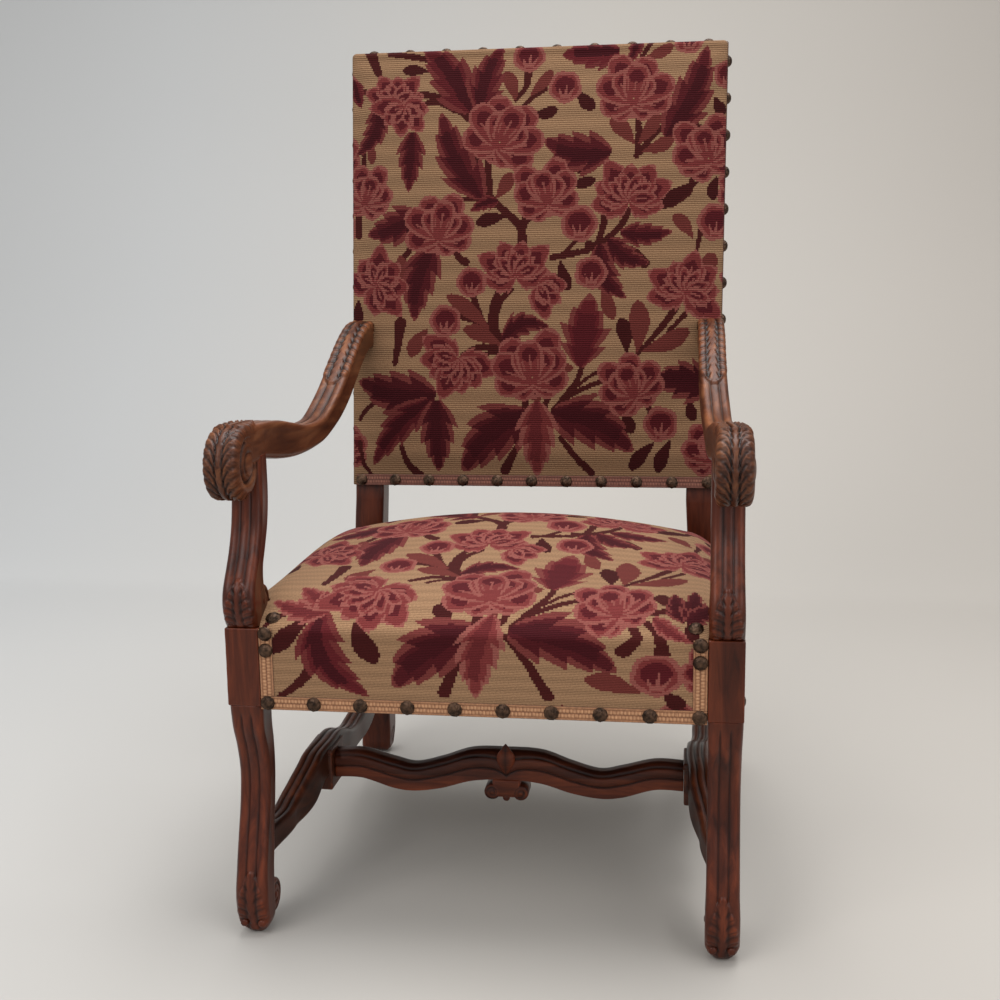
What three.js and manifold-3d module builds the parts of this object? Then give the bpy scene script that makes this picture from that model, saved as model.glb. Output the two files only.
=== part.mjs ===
// A high-back upholstered armchair with S-curved legs, carved arm rolls and an H-shaped stretcher.
// Millimetres. X runs across the chair, Y from front to back, Z up from the floor.
import * as THREE from 'three';
import { mergeVertices } from 'three/addons/utils/BufferGeometryUtils.js';
import Module from 'manifold-3d';

const wasm = await Module();
wasm.setup();

// Fits
const clearance = 0.3;
const cutOverrun = 4;
const weldDistance = 0.001;

// Overall frame
const frontWidth = 631;
const legWood = 43;
const blockDepth = 49;
const blockHeight = 100;
const blockTop = 400;
const backWidth = 576;
const stileWidth = 46;
const stileDepth = 44;
const stileFront = 549;
const seatLevel = 465;
const stileTop = 1168;
const backLean = 117;
const backFlare = 8;
const legSplay = 27;
const woodEdge = 4;
const roundEdge = 9;
const stretcherEdge = 6;

const halfFront = frontWidth / 2;
const halfBack = backWidth / 2;
const legCentre = halfFront - legWood / 2;
const legInner = halfFront - legWood;
const blockBottom = blockTop - blockHeight;
const stileInner = halfBack - stileWidth;

// Rows of a bar are [along, low side, high side]. The front leg runs up from the floor.
const footScrollRadius = 22;
const footScrollHeight = 38;
const footScrollReach = 26;
const frontLegShares = [
  [0, 0.02, 0.42], [0.07, -0.18, 0.5], [0.15, -0.29, 0.53], [0.25, -0.22, 0.59],
  [0.33, -0.1, 0.69], [0.43, 0.1, 0.8], [0.55, 0.33, 0.96], [0.68, 0.45, 1.08],
  [0.8, 0.31, 1.06], [0.9, 0.08, 0.97], [1, 0.02, 0.98],
];
const rowSteps = 2;
const scrollSides = 20;

// Arm support, from the block's top to the arm
const supportLap = 29;
const supportScrollRadius = 22;
const supportScrollHeight = 26;
const supportScrollReach = 33;
const supportShares = [
  [0, 0.06, 0.94], [0.05, -0.08, 1], [0.14, -0.18, 0.94], [0.235, -0.1, 0.82], [0.33, 0.16, 0.86],
  [0.42, 0.41, 1.06], [0.54, 0.65, 1.31], [0.66, 0.78, 1.45], [0.78, 0.84, 1.5], [1, 0.86, 1.48],
];
const supportHeadShare = 1.17;

// Arm, from the roll's centre to the stile
const armRollRadius = 45;
const armRollHeight = 601;
const armRollReach = 8;
const armRollWidth = 46;
const armWidth = 42;
const armUnderside = 16;
const armRise = 159;
const armRollOverhang = 5;
const armRearInset = 12;
const armEyeRadius = 17;
const armEyeDepth = 3;
const armLow = armRollHeight - armUnderside;
const armRearCentre = halfBack - armRearInset;
const armToe = legCentre + armRollOverhang - armRearCentre;
const armTenonShare = 0.82;
const rollSides = 28;
const eyeSides = 18;
const armShares = [
  [0, 0.05, 0.384], [0.054, 0.08, 0.384], [0.098, 0.094, 0.377], [0.198, 0.038, 0.352],
  [0.285, 0.006, 0.296], [0.378, 0, 0.233], [0.478, 0.019, 0.22], [0.537, 0.063, 0.27],
  [0.62, 0.17, 0.428], [0.692, 0.308, 0.597], [0.769, 0.49, 0.774], [0.858, 0.673, 0.937],
  [0.915, 0.742, 0.994], [1, 0.761, 1],
];
const armToeShares = [[0, 1], [0.088, 0.79], [0.409, 0.5], [0.78, 0.11], [1, 0]];

// Rear leg below the seat: [height, rake of the front face, depth], then the straight stile above it
const legRake = 92;
const rearLegShares = [
  [0, 1, 0.52], [0.026, 0.92, 0.86], [0.086, 0.9, 1.09], [0.215, 0.72, 1.18], [0.43, 0.42, 1.13],
  [0.645, 0.15, 1.07], [0.86, 0, 1.04],
];

// Side stretcher, from the front leg to the rear leg
const sideStretcherWidth = 32;
const sideStretcherLow = 88;
const sideStretcherRise = 84;
const sideStretcherBow = 27;
const sideStretcherStart = 22;
const sideStretcherShares = [
  [0, 0, 0.43], [0.065, 0.06, 0.44], [0.126, 0.11, 0.48], [0.171, 0.13, 0.63], [0.211, 0.21, 0.81],
  [0.25, 0.37, 0.94], [0.29, 0.464, 0.988], [0.348, 0.476, 1], [0.403, 0.476, 0.988],
  [0.452, 0.43, 0.905], [0.524, 0.286, 0.714], [0.602, 0.19, 0.583], [0.679, 0.155, 0.607],
  [0.774, 0.18, 0.643], [0.871, 0.226, 0.68], [1, 0.262, 0.714],
];
const sideStretcherBowShares = [
  [0, 0], [0.126, 0.42], [0.25, 0.9], [0.348, 1], [0.47, 0.92], [0.65, 0.6], [1, 0],
];
const junctionWidth = 37;
const junctionDepth = 62;
const junctionLow = 107;
const junctionHigh = 182;
const junctionCentre = 236;

// Cross stretcher between the two junction blocks
const crossDepth = 34;
const crossLow = 103;
const crossRise = 67;
const crossShares = [
  [0, 0.33, 1], [0.2, 0.27, 0.97], [0.37, 0.09, 0.76], [0.53, 0, 0.61], [0.66, 0.045, 0.7],
  [0.84, 0.24, 0.866], [1, 0.24, 0.85],
];
const crossScrollRadius = 13;
const crossScrollOffset = 17;
const crossScrollHeight = 112;
const crossScrollSides = 14;
const finialRadius = 8;
const finialHeight = 16;
const finialSides = 10;
const finialShares = [[0, -1], [0.8, -0.5], [1, 0], [0.55, 0.6], [0, 1]];

// Seat rails
const railHeight = 86;
const railThickness = 27;
const railBottom = 306;
const rearRailSetback = 13;
const rearRailThickness = 24;
const tenonLength = 20;
const sideTenonLength = 16;
const armTenonLength = 24;
const tenonThickness = 9;
const tenonHeight = 44;
const tenonRise = 12;
const postTenonLength = 22;
const postTenonWidth = 16;
const postTenonDepth = 18;
const stretcherTenonHeight = 18;
const stretcherTenonWidth = 12;
const stretcherTenonLength = 14;
const stretcherTenonDrop = 11;
const stretcherTenonLift = 30;
const stretcherFrontTenonLength = 34;
const crossTenonRise = 27;

// Corner blocks
const cornerBlockReach = 58;
const cornerBlockHeight = 46;
const cornerBlockRise = 20;

// Back rails
const backBottom = 487;
const backRailHeight = 68;
const backRailThickness = 26;
const backRailSetback = 3;

// Seat upholstery
const coverThickness = 2;
const seatFront = 1;
const seatCoverBottom = 297;
const seatSideSetback = 2.5;
const seatSideOverhang = 6;
const seatEdgeRadius = 34;
const seatEdgeHeight = 434;
const seatFrontEdgeHeight = 440;
const seatRearEdgeHeight = 428;
const seatCrownHeight = 468;
const clothThickness = 1.2;
const strapWidth = 54;
const strapThickness = 1.6;
const strapsAcross = 3;
const strapsAlong = 3;
const strapEndLap = 17;
const strapSpacingX = 160;
const strapSpacingY = 152;
const springWire = 3.6;
const springWideRadius = 38;
const springWaistRadius = 27;
const springTurns = 4;
const wireSides = 5;
const wireSteps = 8;
const springSpacingX = 200;
const springSpacingY = 190;

// Back upholstery
const backPad = 9;
const backCrown = 13;
const backMargin = 27;
const backWrap = 34;
const backCornerRadius = 7;
const backStrapsUp = 2;
const backStrapsAcross = 3;
const backStrapThickness = 1;
const backStrapLap = 26;
const backStrapSpacing = 180;

// Gimp and nails
const gimpWidth = 17;
const gimpThickness = 1.6;
const nailRadius = 9;
const nailRise = 5.5;
const nailSeat = 0.6;
const nailSpacing = 57;
const nailSides = 6;
const nailShoulderShare = 0.72;
const nailShoulderRise = 3.3;
const postNailSpacing = 19;
const postNails = 3;

// Colours and finishes
const walnut = { color: 0x6b3a26, roughness: 0.42, metalness: 0 };
const paleWalnut = { color: 0x8a5a3a, roughness: 0.45, metalness: 0 };
const beech = { color: 0xb08a5e, roughness: 0.7, metalness: 0 };
const tapestry = { color: 0x8a5446, roughness: 0.95, metalness: 0 };
const lining = { color: 0x5c4636, roughness: 0.95, metalness: 0 };
const hessian = { color: 0xa58a5f, roughness: 0.98, metalness: 0 };
const webbing = { color: 0x8f8468, roughness: 0.95, metalness: 0 };
const stuffing = { color: 0x6d5a44, roughness: 1, metalness: 0 };
const gimp = { color: 0xb98758, roughness: 0.9, metalness: 0 };
const steel = { color: 0x77787a, roughness: 0.45, metalness: 0.9 };

const chair = new THREE.Group();
const xAxis = new THREE.Vector3(1, 0, 0);
const yAxis = new THREE.Vector3(0, 1, 0);
const zAxis = new THREE.Vector3(0, 0, 1);

// A closed geometry as a solid, and back
function solidOf(geometry) {
  const bare = geometry.clone();
  bare.deleteAttribute('normal');
  bare.deleteAttribute('uv');
  const merged = mergeVertices(bare, weldDistance);
  const index = merged.index.array;
  const kept = [];
  for (let i = 0; i < index.length; i += 3) {
    const [a, b, c] = [index[i], index[i + 1], index[i + 2]];
    if (a !== b && b !== c && c !== a) kept.push(a, b, c);
  }
  return new wasm.Manifold(new wasm.Mesh({
    numProp: 3,
    vertProperties: new Float32Array(merged.attributes.position.array),
    triVerts: new Uint32Array(kept),
  }));
}

function geometryOf(solid) {
  const mesh = solid.getMesh();
  const geometry = new THREE.BufferGeometry();
  geometry.setAttribute('position', new THREE.BufferAttribute(new Float32Array(mesh.vertProperties), 3));
  geometry.setIndex(new THREE.BufferAttribute(new Uint32Array(mesh.triVerts), 1));
  return geometry;
}

function join(...solids) {
  return solids.reduce((sum, solid) => sum.add(solid));
}

function cut(solid, ...tools) {
  return tools.reduce((rest, tool) => rest.subtract(tool), solid);
}

function addPiece(name, solid, look) {
  const mesh = new THREE.Mesh(geometryOf(solid), new THREE.MeshStandardMaterial(look));
  mesh.name = name;
  chair.add(mesh);
}

// Moves every point of a geometry
function reshape(geometry, move) {
  const position = geometry.attributes.position;
  const point = new THREE.Vector3();
  for (let i = 0; i < position.count; i += 1) {
    point.fromBufferAttribute(position, i);
    move(point);
    position.setXYZ(i, point.x, point.y, point.z);
  }
  return geometry;
}

function mirrorX(solid) {
  const geometry = geometryOf(solid);
  const index = geometry.index.array;
  for (let i = 0; i < index.length; i += 3) {
    [index[i], index[i + 1]] = [index[i + 1], index[i]];
  }
  reshape(geometry, (point) => { point.x = -point.x; });
  return solidOf(geometry);
}

// A box between two corners, as a geometry
function boxBetween(low, high) {
  const box = new THREE.BoxGeometry(high[0] - low[0], high[1] - low[1], high[2] - low[2]);
  box.translate((low[0] + high[0]) / 2, (low[1] + high[1]) / 2, (low[2] + high[2]) / 2);
  return box;
}

function grownBox(low, high, grow) {
  return boxBetween(low.map((value) => value - grow), high.map((value) => value + grow));
}

// Reads a table of [place, value] shares at one place
function shareAt(shares, place) {
  if (place <= shares[0][0]) return shares[0][1];
  for (let i = 1; i < shares.length; i += 1) {
    if (place <= shares[i][0]) {
      const part = (place - shares[i - 1][0]) / (shares[i][0] - shares[i - 1][0]);
      const eased = part * part * (3 - 2 * part);
      return shares[i - 1][1] + (shares[i][1] - shares[i - 1][1]) * eased;
    }
  }
  return shares[shares.length - 1][1];
}

// A closed skin through rings of the same number of points, its faces turned outwards
function loft(rings) {
  const count = rings[0].length;
  const index = [];
  for (let j = 0; j < rings.length - 1; j += 1) {
    for (let i = 0; i < count; i += 1) {
      const next = (i + 1) % count;
      const [a, b] = [j * count + i, j * count + next];
      const [c, d] = [(j + 1) * count + next, (j + 1) * count + i];
      index.push(a, b, c, a, c, d);
    }
  }
  const end = (rings.length - 1) * count;
  for (let i = 1; i < count - 1; i += 1) {
    index.push(0, i + 1, i, end, end + i, end + i + 1);
  }
  const points = rings.flat();
  let volume = 0;
  for (let i = 0; i < index.length; i += 3) {
    const [a, b, c] = [points[index[i]], points[index[i + 1]], points[index[i + 2]]];
    volume += a.dot(new THREE.Vector3().crossVectors(b, c));
  }
  if (volume < 0) index.reverse();
  const geometry = new THREE.BufferGeometry().setFromPoints(points);
  geometry.setIndex(index);
  return geometry;
}

// Smooth stations between the rows of a bar
function stations(rows, grow) {
  const last = rows.length - 1;
  const place = (row, i) => row[0] + (i === 0 ? -grow : 0) + (i === last ? grow : 0);
  const low = new THREE.SplineCurve(rows.map((row, i) => new THREE.Vector2(place(row, i), row[1] - grow)));
  const high = new THREE.SplineCurve(rows.map((row, i) => new THREE.Vector2(place(row, i), row[2] + grow)));
  const highPoints = high.getPoints(last * rowSteps);
  return low.getPoints(last * rowSteps).map((point, i) => [point.x, point.y, highPoints[i].y]);
}

// A bar with chamfered edges. Its width is centred on zero, and place turns
// (along, across its width, from its low to its high side) into a point of the chair
function bar(line, width, edge, place) {
  const half = width / 2;
  return loft(line.map(([along, low, high]) => [
    place(along, edge - half, low), place(along, half - edge, low),
    place(along, half, low + edge), place(along, half, high - edge),
    place(along, half - edge, high), place(along, edge - half, high),
    place(along, -half, high - edge), place(along, -half, low + edge),
  ]));
}

const uprightPlace = (along, across, side) => new THREE.Vector3(across, side, along);
const sidePlace = (along, across, side) => new THREE.Vector3(across, along, side);
const crossPlace = (along, across, side) => new THREE.Vector3(along, across, side);

// A round scroll whose axis runs across the chair
function scroll(radius, width, y, z, grow = 0, sides = scrollSides) {
  const disc = new THREE.CylinderGeometry(radius + grow, radius + grow, width + 2 * grow, sides);
  disc.rotateZ(Math.PI / 2);
  return disc.translate(0, y, z);
}

// The back leans and flares above the seat, and the rear legs splay below it
function backPart(z) {
  return (z - seatLevel) / (stileTop - seatLevel);
}

function flare(z) {
  if (z >= seatLevel) return 1 + backFlare / halfBack * backPart(z);
  return 1 + legSplay / halfBack * (1 - z / seatLevel);
}

function leanBack(point) {
  point.y += stileFront + backLean * backPart(point.z);
  point.x *= flare(point.z);
}

function rearFrontAt(z) {
  if (z >= seatLevel) return stileFront + backLean * backPart(z);
  const rakes = rearLegShares.map(([height, rake]) => [height, rake]);
  return stileFront + legRake * shareAt([...rakes, [1, 0]], z / seatLevel);
}

// Front leg with its square block and foot scroll
function frontLegSolid(grow = 0) {
  const rows = frontLegShares.map(([height, front, rear]) => (
    [height * blockBottom, front * blockDepth, rear * blockDepth]));
  const shaft = bar(stations(rows, grow), legWood + 2 * grow, roundEdge, uprightPlace);
  const foot = scroll(footScrollRadius, legWood, footScrollReach, footScrollHeight, grow);
  const block = boxBetween(
    [-legWood / 2 - grow, -grow, blockBottom - cutOverrun - grow],
    [legWood / 2 + grow, blockDepth + grow, blockTop + grow],
  );
  return join(solidOf(shaft), solidOf(foot), solidOf(block)).translate(legCentre, 0, 0);
}

const supportFoot = blockTop + clearance;
const supportRise = armLow + supportLap - blockTop;

function supportSolid(grow = 0) {
  const rows = supportShares.map(([height, front, rear]) => (
    [supportFoot + height * supportRise, front * blockDepth, rear * blockDepth]));
  const post = bar(stations(rows, grow), legWood + 2 * grow, roundEdge, uprightPlace);
  const base = scroll(
    supportScrollRadius, legWood, supportScrollReach, blockTop + supportScrollHeight, grow);
  return join(solidOf(post), solidOf(base)).translate(legCentre, 0, 0);
}

const armLength = rearFrontAt(armLow + armRise) + stileDepth / 2 - armRollReach;

function armSolid(grow = 0) {
  const rows = armShares.map(([along, low, high]) => (
    [armRollReach + along * armLength, armLow + low * armRise, armLow + high * armRise]));
  const rail = bar(stations(rows, grow), armWidth + 2 * grow, roundEdge, sidePlace);
  reshape(rail, (point) => {
    const along = (point.y - armRollReach) / armLength;
    point.x += armRearCentre + armToe * shareAt(armToeShares, along);
  });
  const roll = scroll(armRollRadius, armRollWidth, armRollReach, armRollHeight, grow, rollSides);
  roll.translate(armRearCentre + armToe, 0, 0);
  return join(solidOf(rail), solidOf(roll));
}

// With outward and behind, the solid also fills the space beside and behind the leg,
// to trim what ends at its face
function rearLegSolid(grow = 0, outward = 0, behind = 0) {
  const rows = rearLegShares.map(([height, rake, depth]) => {
    const front = stileFront + rake * legRake;
    return [height * seatLevel, front, front + depth * stileDepth];
  });
  rows.push([seatLevel, stileFront, stileFront + stileDepth]);
  const line = stations(rows, 0).map(([z, front, rear]) => [z, front - grow, rear + grow + behind]);
  line[0][0] -= grow;
  const topRear = stileFront + backLean + stileDepth;
  line.push([stileTop + grow, stileFront + backLean - grow, topRear + grow + behind]);
  const leg = bar(line, stileWidth + 2 * grow + outward, woodEdge, uprightPlace);
  leg.translate(halfBack - stileWidth / 2 + outward / 2, 0, 0);
  return solidOf(reshape(leg, (point) => { point.x *= flare(point.z); }));
}

// Side stretcher, long enough to be cut back by both legs, bowed inwards between their middles
const sideStretcherLength = stileFront + legRake - sideStretcherStart;
const stretcherRearTenonLow = sideStretcherLow + stretcherTenonLift;
const stretcherRearX = (halfBack - stileWidth / 2) * flare(stretcherRearTenonLow);

function sideStretcherX(y) {
  const along = (y - sideStretcherStart) / sideStretcherLength;
  const straight = legCentre + (stretcherRearX - legCentre) * along;
  return straight - sideStretcherBow * shareAt(sideStretcherBowShares, along);
}

const junctionX = sideStretcherX(junctionCentre);
const crossHalf = junctionX - junctionWidth / 2 - clearance;

function sideStretcherSolid() {
  const rows = sideStretcherShares.map(([along, low, high]) => [
    sideStretcherStart + along * sideStretcherLength,
    sideStretcherLow + low * sideStretcherRise,
    sideStretcherLow + high * sideStretcherRise,
  ]);
  const rail = bar(stations(rows, 0), sideStretcherWidth, stretcherEdge, sidePlace);
  reshape(rail, (point) => { point.x += sideStretcherX(point.y); });
  const block = boxBetween(
    [junctionX - junctionWidth / 2, junctionCentre - junctionDepth / 2, junctionLow],
    [junctionX + junctionWidth / 2, junctionCentre + junctionDepth / 2, junctionHigh],
  );
  return join(solidOf(rail), solidOf(block));
}

function crossStretcherSolid() {
  const half = crossShares.map(([along, low, high]) => (
    [along * crossHalf, crossLow + low * crossRise, crossLow + high * crossRise]));
  const rows = [...half.slice(1).reverse().map(([x, low, high]) => [-x, low, high]), ...half];
  const rail = bar(stations(rows, 0), crossDepth, stretcherEdge, crossPlace);
  rail.translate(0, junctionCentre, 0);
  const scrolls = [-1, 1].map((side) => {
    const disc = new THREE.CylinderGeometry(
      crossScrollRadius, crossScrollRadius, crossDepth - woodEdge, crossScrollSides);
    disc.translate(side * crossScrollOffset, junctionCentre, crossScrollHeight);
    return solidOf(disc);
  });
  const budProfile = finialShares.map(([radius, height]) => (
    new THREE.Vector2(radius * finialRadius, height * finialHeight / 2)));
  const bud = new THREE.LatheGeometry(budProfile, finialSides);
  bud.rotateX(Math.PI / 2);
  bud.translate(0, junctionCentre - crossDepth / 2 + woodEdge, crossLow + crossRise + woodEdge / 2);
  return join(solidOf(rail), ...scrolls, solidOf(bud));
}

// Side seat rail, narrowing towards the back
const seatSideFront = halfFront - seatSideSetback;
const seatSideRear = halfBack + seatSideOverhang;
const sideRailFrontX = seatSideFront - coverThickness - clearance;
const sideRailRearX = seatSideRear - coverThickness - clearance;
const sideRailRun = stileFront - blockDepth;

function sideRailOuter(y) {
  return sideRailFrontX + (sideRailRearX - sideRailFrontX) * (y - blockDepth) / sideRailRun;
}

// Tenons, each a box between two corners
const railTenonLow = railBottom + tenonRise;
const frontTenonFront = seatFront + coverThickness + clearance + tenonThickness;
const frontRailTenon = [
  [legInner, frontTenonFront, railTenonLow],
  [legInner + tenonLength, frontTenonFront + tenonThickness, railTenonLow + tenonHeight],
];
const sideTenonX = halfFront - legWood / 2;
const sideRailFrontTenon = [
  [sideTenonX - tenonThickness / 2, blockDepth - sideTenonLength, railTenonLow],
  [sideTenonX + tenonThickness / 2, blockDepth + clearance, railTenonLow + tenonHeight],
];
const railMiddle = railBottom + railHeight / 2;
const rearFaceAtRail = rearFrontAt(railMiddle);
const stileMiddleAtRail = (halfBack - stileWidth / 2) * flare(railMiddle);
const sideRearTenonX = sideRailOuter(rearFaceAtRail) - railThickness / 2;
const sideRailRearTenon = [
  [sideRearTenonX - tenonThickness / 2, rearFaceAtRail - tenonLength, railTenonLow],
  [sideRearTenonX + tenonThickness / 2, rearFaceAtRail + sideTenonLength, railTenonLow + tenonHeight],
];
const rearTenonFront = rearFaceAtRail + rearRailSetback + tenonThickness;
const rearLegInnerAtRail = stileInner * flare(railMiddle);
const rearRailTenon = [
  [rearLegInnerAtRail - tenonLength, rearTenonFront, railTenonLow],
  [rearLegInnerAtRail + tenonLength, rearTenonFront + tenonThickness, railTenonLow + tenonHeight],
];
const supportFootTenon = [
  [legCentre - postTenonWidth / 2, blockDepth / 2 - postTenonDepth / 2, blockTop - postTenonLength],
  [legCentre + postTenonWidth / 2, blockDepth / 2 + postTenonDepth / 2, blockTop + cutOverrun],
];
const supportHeadY = blockDepth * supportHeadShare;
const supportHeadTenon = [
  [legCentre - postTenonWidth / 2, supportHeadY - postTenonDepth / 2, armLow - cutOverrun],
  [legCentre + postTenonWidth / 2, supportHeadY + postTenonDepth / 2, armLow + postTenonLength],
];
const armTenonLow = armLow + armRise * armTenonShare;
const armTenon = [
  [armRearCentre - postTenonWidth / 2, rearFrontAt(armTenonLow) - tenonLength, armTenonLow],
  [
    armRearCentre + postTenonWidth / 2, rearFrontAt(armTenonLow) + armTenonLength,
    armTenonLow + postTenonDepth,
  ],
];
const stretcherTenonLow = sideStretcherLow + stretcherTenonDrop;
const sideStretcherFrontTenon = [
  [legCentre - stretcherTenonWidth / 2, blockDepth - stretcherFrontTenonLength, stretcherTenonLow],
  [legCentre + stretcherTenonWidth / 2, blockDepth, stretcherTenonLow + stretcherTenonHeight],
];
const stretcherRearFace = rearFrontAt(stretcherRearTenonLow);
const sideStretcherRearTenon = [
  [
    stretcherRearX - stretcherTenonWidth / 2, stretcherRearFace - stretcherTenonLength,
    stretcherRearTenonLow,
  ],
  [
    stretcherRearX + stretcherTenonWidth / 2, stretcherRearFace + tenonLength,
    stretcherRearTenonLow + stretcherTenonHeight,
  ],
];
const crossTenonLow = crossLow + crossTenonRise;
const crossTenon = [
  [crossHalf - clearance, junctionCentre - stretcherTenonWidth / 2, crossTenonLow],
  [
    crossHalf + stretcherTenonLength, junctionCentre + stretcherTenonWidth / 2,
    crossTenonLow + stretcherTenonHeight,
  ],
];
const backRailLow = backBottom + clearance + coverThickness;
const backRailTenon = (low) => [
  [stileInner - clearance - cutOverrun, backRailSetback + tenonThickness, low + tenonRise],
  [stileInner + tenonLength, backRailSetback + 2 * tenonThickness, low + tenonRise + tenonHeight],
];

function tenon(corners) {
  return solidOf(boxBetween(...corners));
}

function mortise(corners) {
  return solidOf(grownBox(...corners, clearance));
}

function leaned(geometry) {
  return solidOf(reshape(geometry, leanBack));
}

// Frame pieces of the left and the right side
const frontLegGrown = frontLegSolid(clearance);
const rearLegGrown = rearLegSolid(clearance);
const rearLegShadow = rearLegSolid(clearance, stileWidth, stileDepth);
const armGrown = armSolid(clearance);
const backRailTop = stileTop - backRailHeight;

const frontLeg = cut(
  frontLegSolid(), mortise(frontRailTenon), mortise(sideRailFrontTenon), mortise(supportFootTenon),
  mortise(sideStretcherFrontTenon),
);

const support = join(cut(supportSolid(), armGrown), tenon(supportFootTenon), tenon(supportHeadTenon));

// The shallow round eyes in both ends of the arm's roll
const armEyes = [-1, 1].map((side) => {
  const eye = scroll(armEyeRadius, armEyeDepth, armRollReach, armRollHeight, 0, eyeSides);
  return solidOf(eye.translate(armRearCentre + armToe + side * (armRollWidth - armEyeDepth) / 2, 0, 0));
});
const arm = cut(
  join(cut(armSolid(), rearLegShadow), tenon(armTenon)), mortise(supportHeadTenon), ...armEyes);

const rearLeg = cut(
  rearLegSolid(), mortise(sideRailRearTenon), mortise(rearRailTenon), mortise(armTenon),
  mortise(sideStretcherRearTenon), leaned(grownBox(...backRailTenon(backRailLow), clearance)),
  leaned(grownBox(...backRailTenon(backRailTop), clearance)),
);

const sideStretcher = cut(
  join(
    cut(sideStretcherSolid(), frontLegGrown, rearLegGrown),
    tenon(sideStretcherFrontTenon), tenon(sideStretcherRearTenon),
  ),
  mortise(crossTenon),
);

function planBoard(points, low, high) {
  const shape = new THREE.Shape(points.map(([x, y]) => new THREE.Vector2(x, y)));
  const board = new THREE.ExtrudeGeometry(shape, { depth: high - low, bevelEnabled: false });
  return solidOf(board.translate(0, 0, low));
}

const railTop = railBottom + railHeight;
const sideRailStart = blockDepth + clearance;
const sideRailEnd = rearFrontAt(railBottom) + cutOverrun;
const sideRailBody = cut(planBoard([
  [sideRailOuter(sideRailStart) - railThickness, sideRailStart],
  [sideRailOuter(sideRailStart), sideRailStart], [sideRailOuter(sideRailEnd), sideRailEnd],
  [sideRailOuter(sideRailEnd) - railThickness, sideRailEnd],
], railBottom, railTop), rearLegShadow);
const sideRail = join(sideRailBody, tenon(sideRailFrontTenon), tenon(sideRailRearTenon));

for (const [side, place] of [['left', mirrorX], ['right', (solid) => solid]]) {
  addPiece(`front_leg_${side}`, place(frontLeg), walnut);
  addPiece(`arm_support_${side}`, place(support), walnut);
  addPiece(`armrest_${side}`, place(arm), paleWalnut);
  addPiece(`rear_leg_${side}`, place(rearLeg), walnut);
  addPiece(`side_stretcher_${side}`, place(sideStretcher), walnut);
  addPiece(`side_seat_rail_${side}`, place(sideRail), beech);
}

addPiece('cross_stretcher', join(
  crossStretcherSolid(), tenon(crossTenon), mirrorX(tenon(crossTenon))), walnut);

// Front and rear seat rails
const frontRailFace = seatFront + coverThickness + clearance;
const frontRailEnd = legInner - clearance;
const frontRailPeg = tenon([
  [frontRailEnd - cutOverrun, ...frontRailTenon[0].slice(1)], frontRailTenon[1]]);
addPiece('front_seat_rail', join(
  solidOf(boxBetween(
    [-frontRailEnd, frontRailFace, railBottom], [frontRailEnd, frontRailFace + railThickness, railTop])),
  frontRailPeg, mirrorX(frontRailPeg),
), beech);

const rearRailFront = rearFaceAtRail + rearRailSetback;
const rearRailBlank = boxBetween(
  [-stileMiddleAtRail, rearRailFront, railBottom],
  [stileMiddleAtRail, rearRailFront + rearRailThickness, railTop]);
addPiece('rear_seat_rail', join(
  cut(solidOf(rearRailBlank), rearLegGrown, mirrorX(rearLegGrown)),
  tenon(rearRailTenon), mirrorX(tenon(rearRailTenon)),
), beech);

// Corner blocks glued into the four inner corners of the seat frame
const cornerLow = railBottom + cornerBlockRise;
const cornerHigh = cornerLow + cornerBlockHeight;

function sideRailInner(y) {
  return sideRailOuter(y) - railThickness - clearance;
}

const frontCornerY = frontRailFace + railThickness + clearance;
const frontCorner = planBoard([
  [legInner - cornerBlockReach, frontCornerY], [legInner - clearance, frontCornerY],
  [legInner - clearance, blockDepth + clearance], [sideRailInner(blockDepth), blockDepth + clearance],
  [sideRailInner(blockDepth + cornerBlockReach), blockDepth + cornerBlockReach],
], cornerLow, cornerHigh);
const rearLegInner = stileInner * flare(railBottom) - cutOverrun;
const rearCornerFace = stileFront - clearance;
const rearCornerY = rearRailFront - clearance;
const rearCorner = cut(planBoard([
  [sideRailInner(stileFront - cornerBlockReach), stileFront - cornerBlockReach],
  [sideRailInner(rearCornerFace), rearCornerFace], [rearLegInner, rearCornerFace],
  [rearLegInner, rearCornerY], [rearLegInner - cornerBlockReach, rearCornerY],
], cornerLow, cornerHigh), rearLegGrown);
addPiece('corner_block_front_left', mirrorX(frontCorner), beech);
addPiece('corner_block_front_right', frontCorner, beech);
addPiece('corner_block_rear_left', mirrorX(rearCorner), beech);
addPiece('corner_block_rear_right', rearCorner, beech);

// Back rails between the stiles
for (const [name, low] of [['back_bottom_rail', backRailLow], ['back_top_rail', backRailTop]]) {
  const half = stileInner - clearance;
  const body = leaned(boxBetween(
    [-half, backRailSetback, low], [half, backRailSetback + backRailThickness, low + backRailHeight]));
  const peg = leaned(boxBetween(...backRailTenon(low)));
  addPiece(name, join(body, peg, mirrorX(peg)), beech);
}

// Seat webbing under the rails, then springs, hessian and stuffing
const strapTop = railBottom - clearance;
for (let i = 0; i < strapsAlong; i += 1) {
  const x = (i - (strapsAlong - 1) / 2) * strapSpacingX;
  addPiece(`seat_strap_along_${i + 1}`, solidOf(boxBetween(
    [x - strapWidth / 2, frontRailFace + strapEndLap - railThickness / 2, strapTop - strapThickness],
    [x + strapWidth / 2, rearRailFront + strapEndLap, strapTop],
  )), webbing);
}
const crossStrapTop = strapTop - strapThickness - clearance;
for (let i = 0; i < strapsAcross; i += 1) {
  const y = blockDepth + sideRailRun / 2 + (i - (strapsAcross - 1) / 2) * strapSpacingY;
  const half = sideRailOuter(y) - railThickness + strapEndLap;
  addPiece(`seat_strap_across_${i + 1}`, solidOf(boxBetween(
    [-half, y - strapWidth / 2, crossStrapTop - strapThickness], [half, y + strapWidth / 2, crossStrapTop],
  )), webbing);
}

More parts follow.
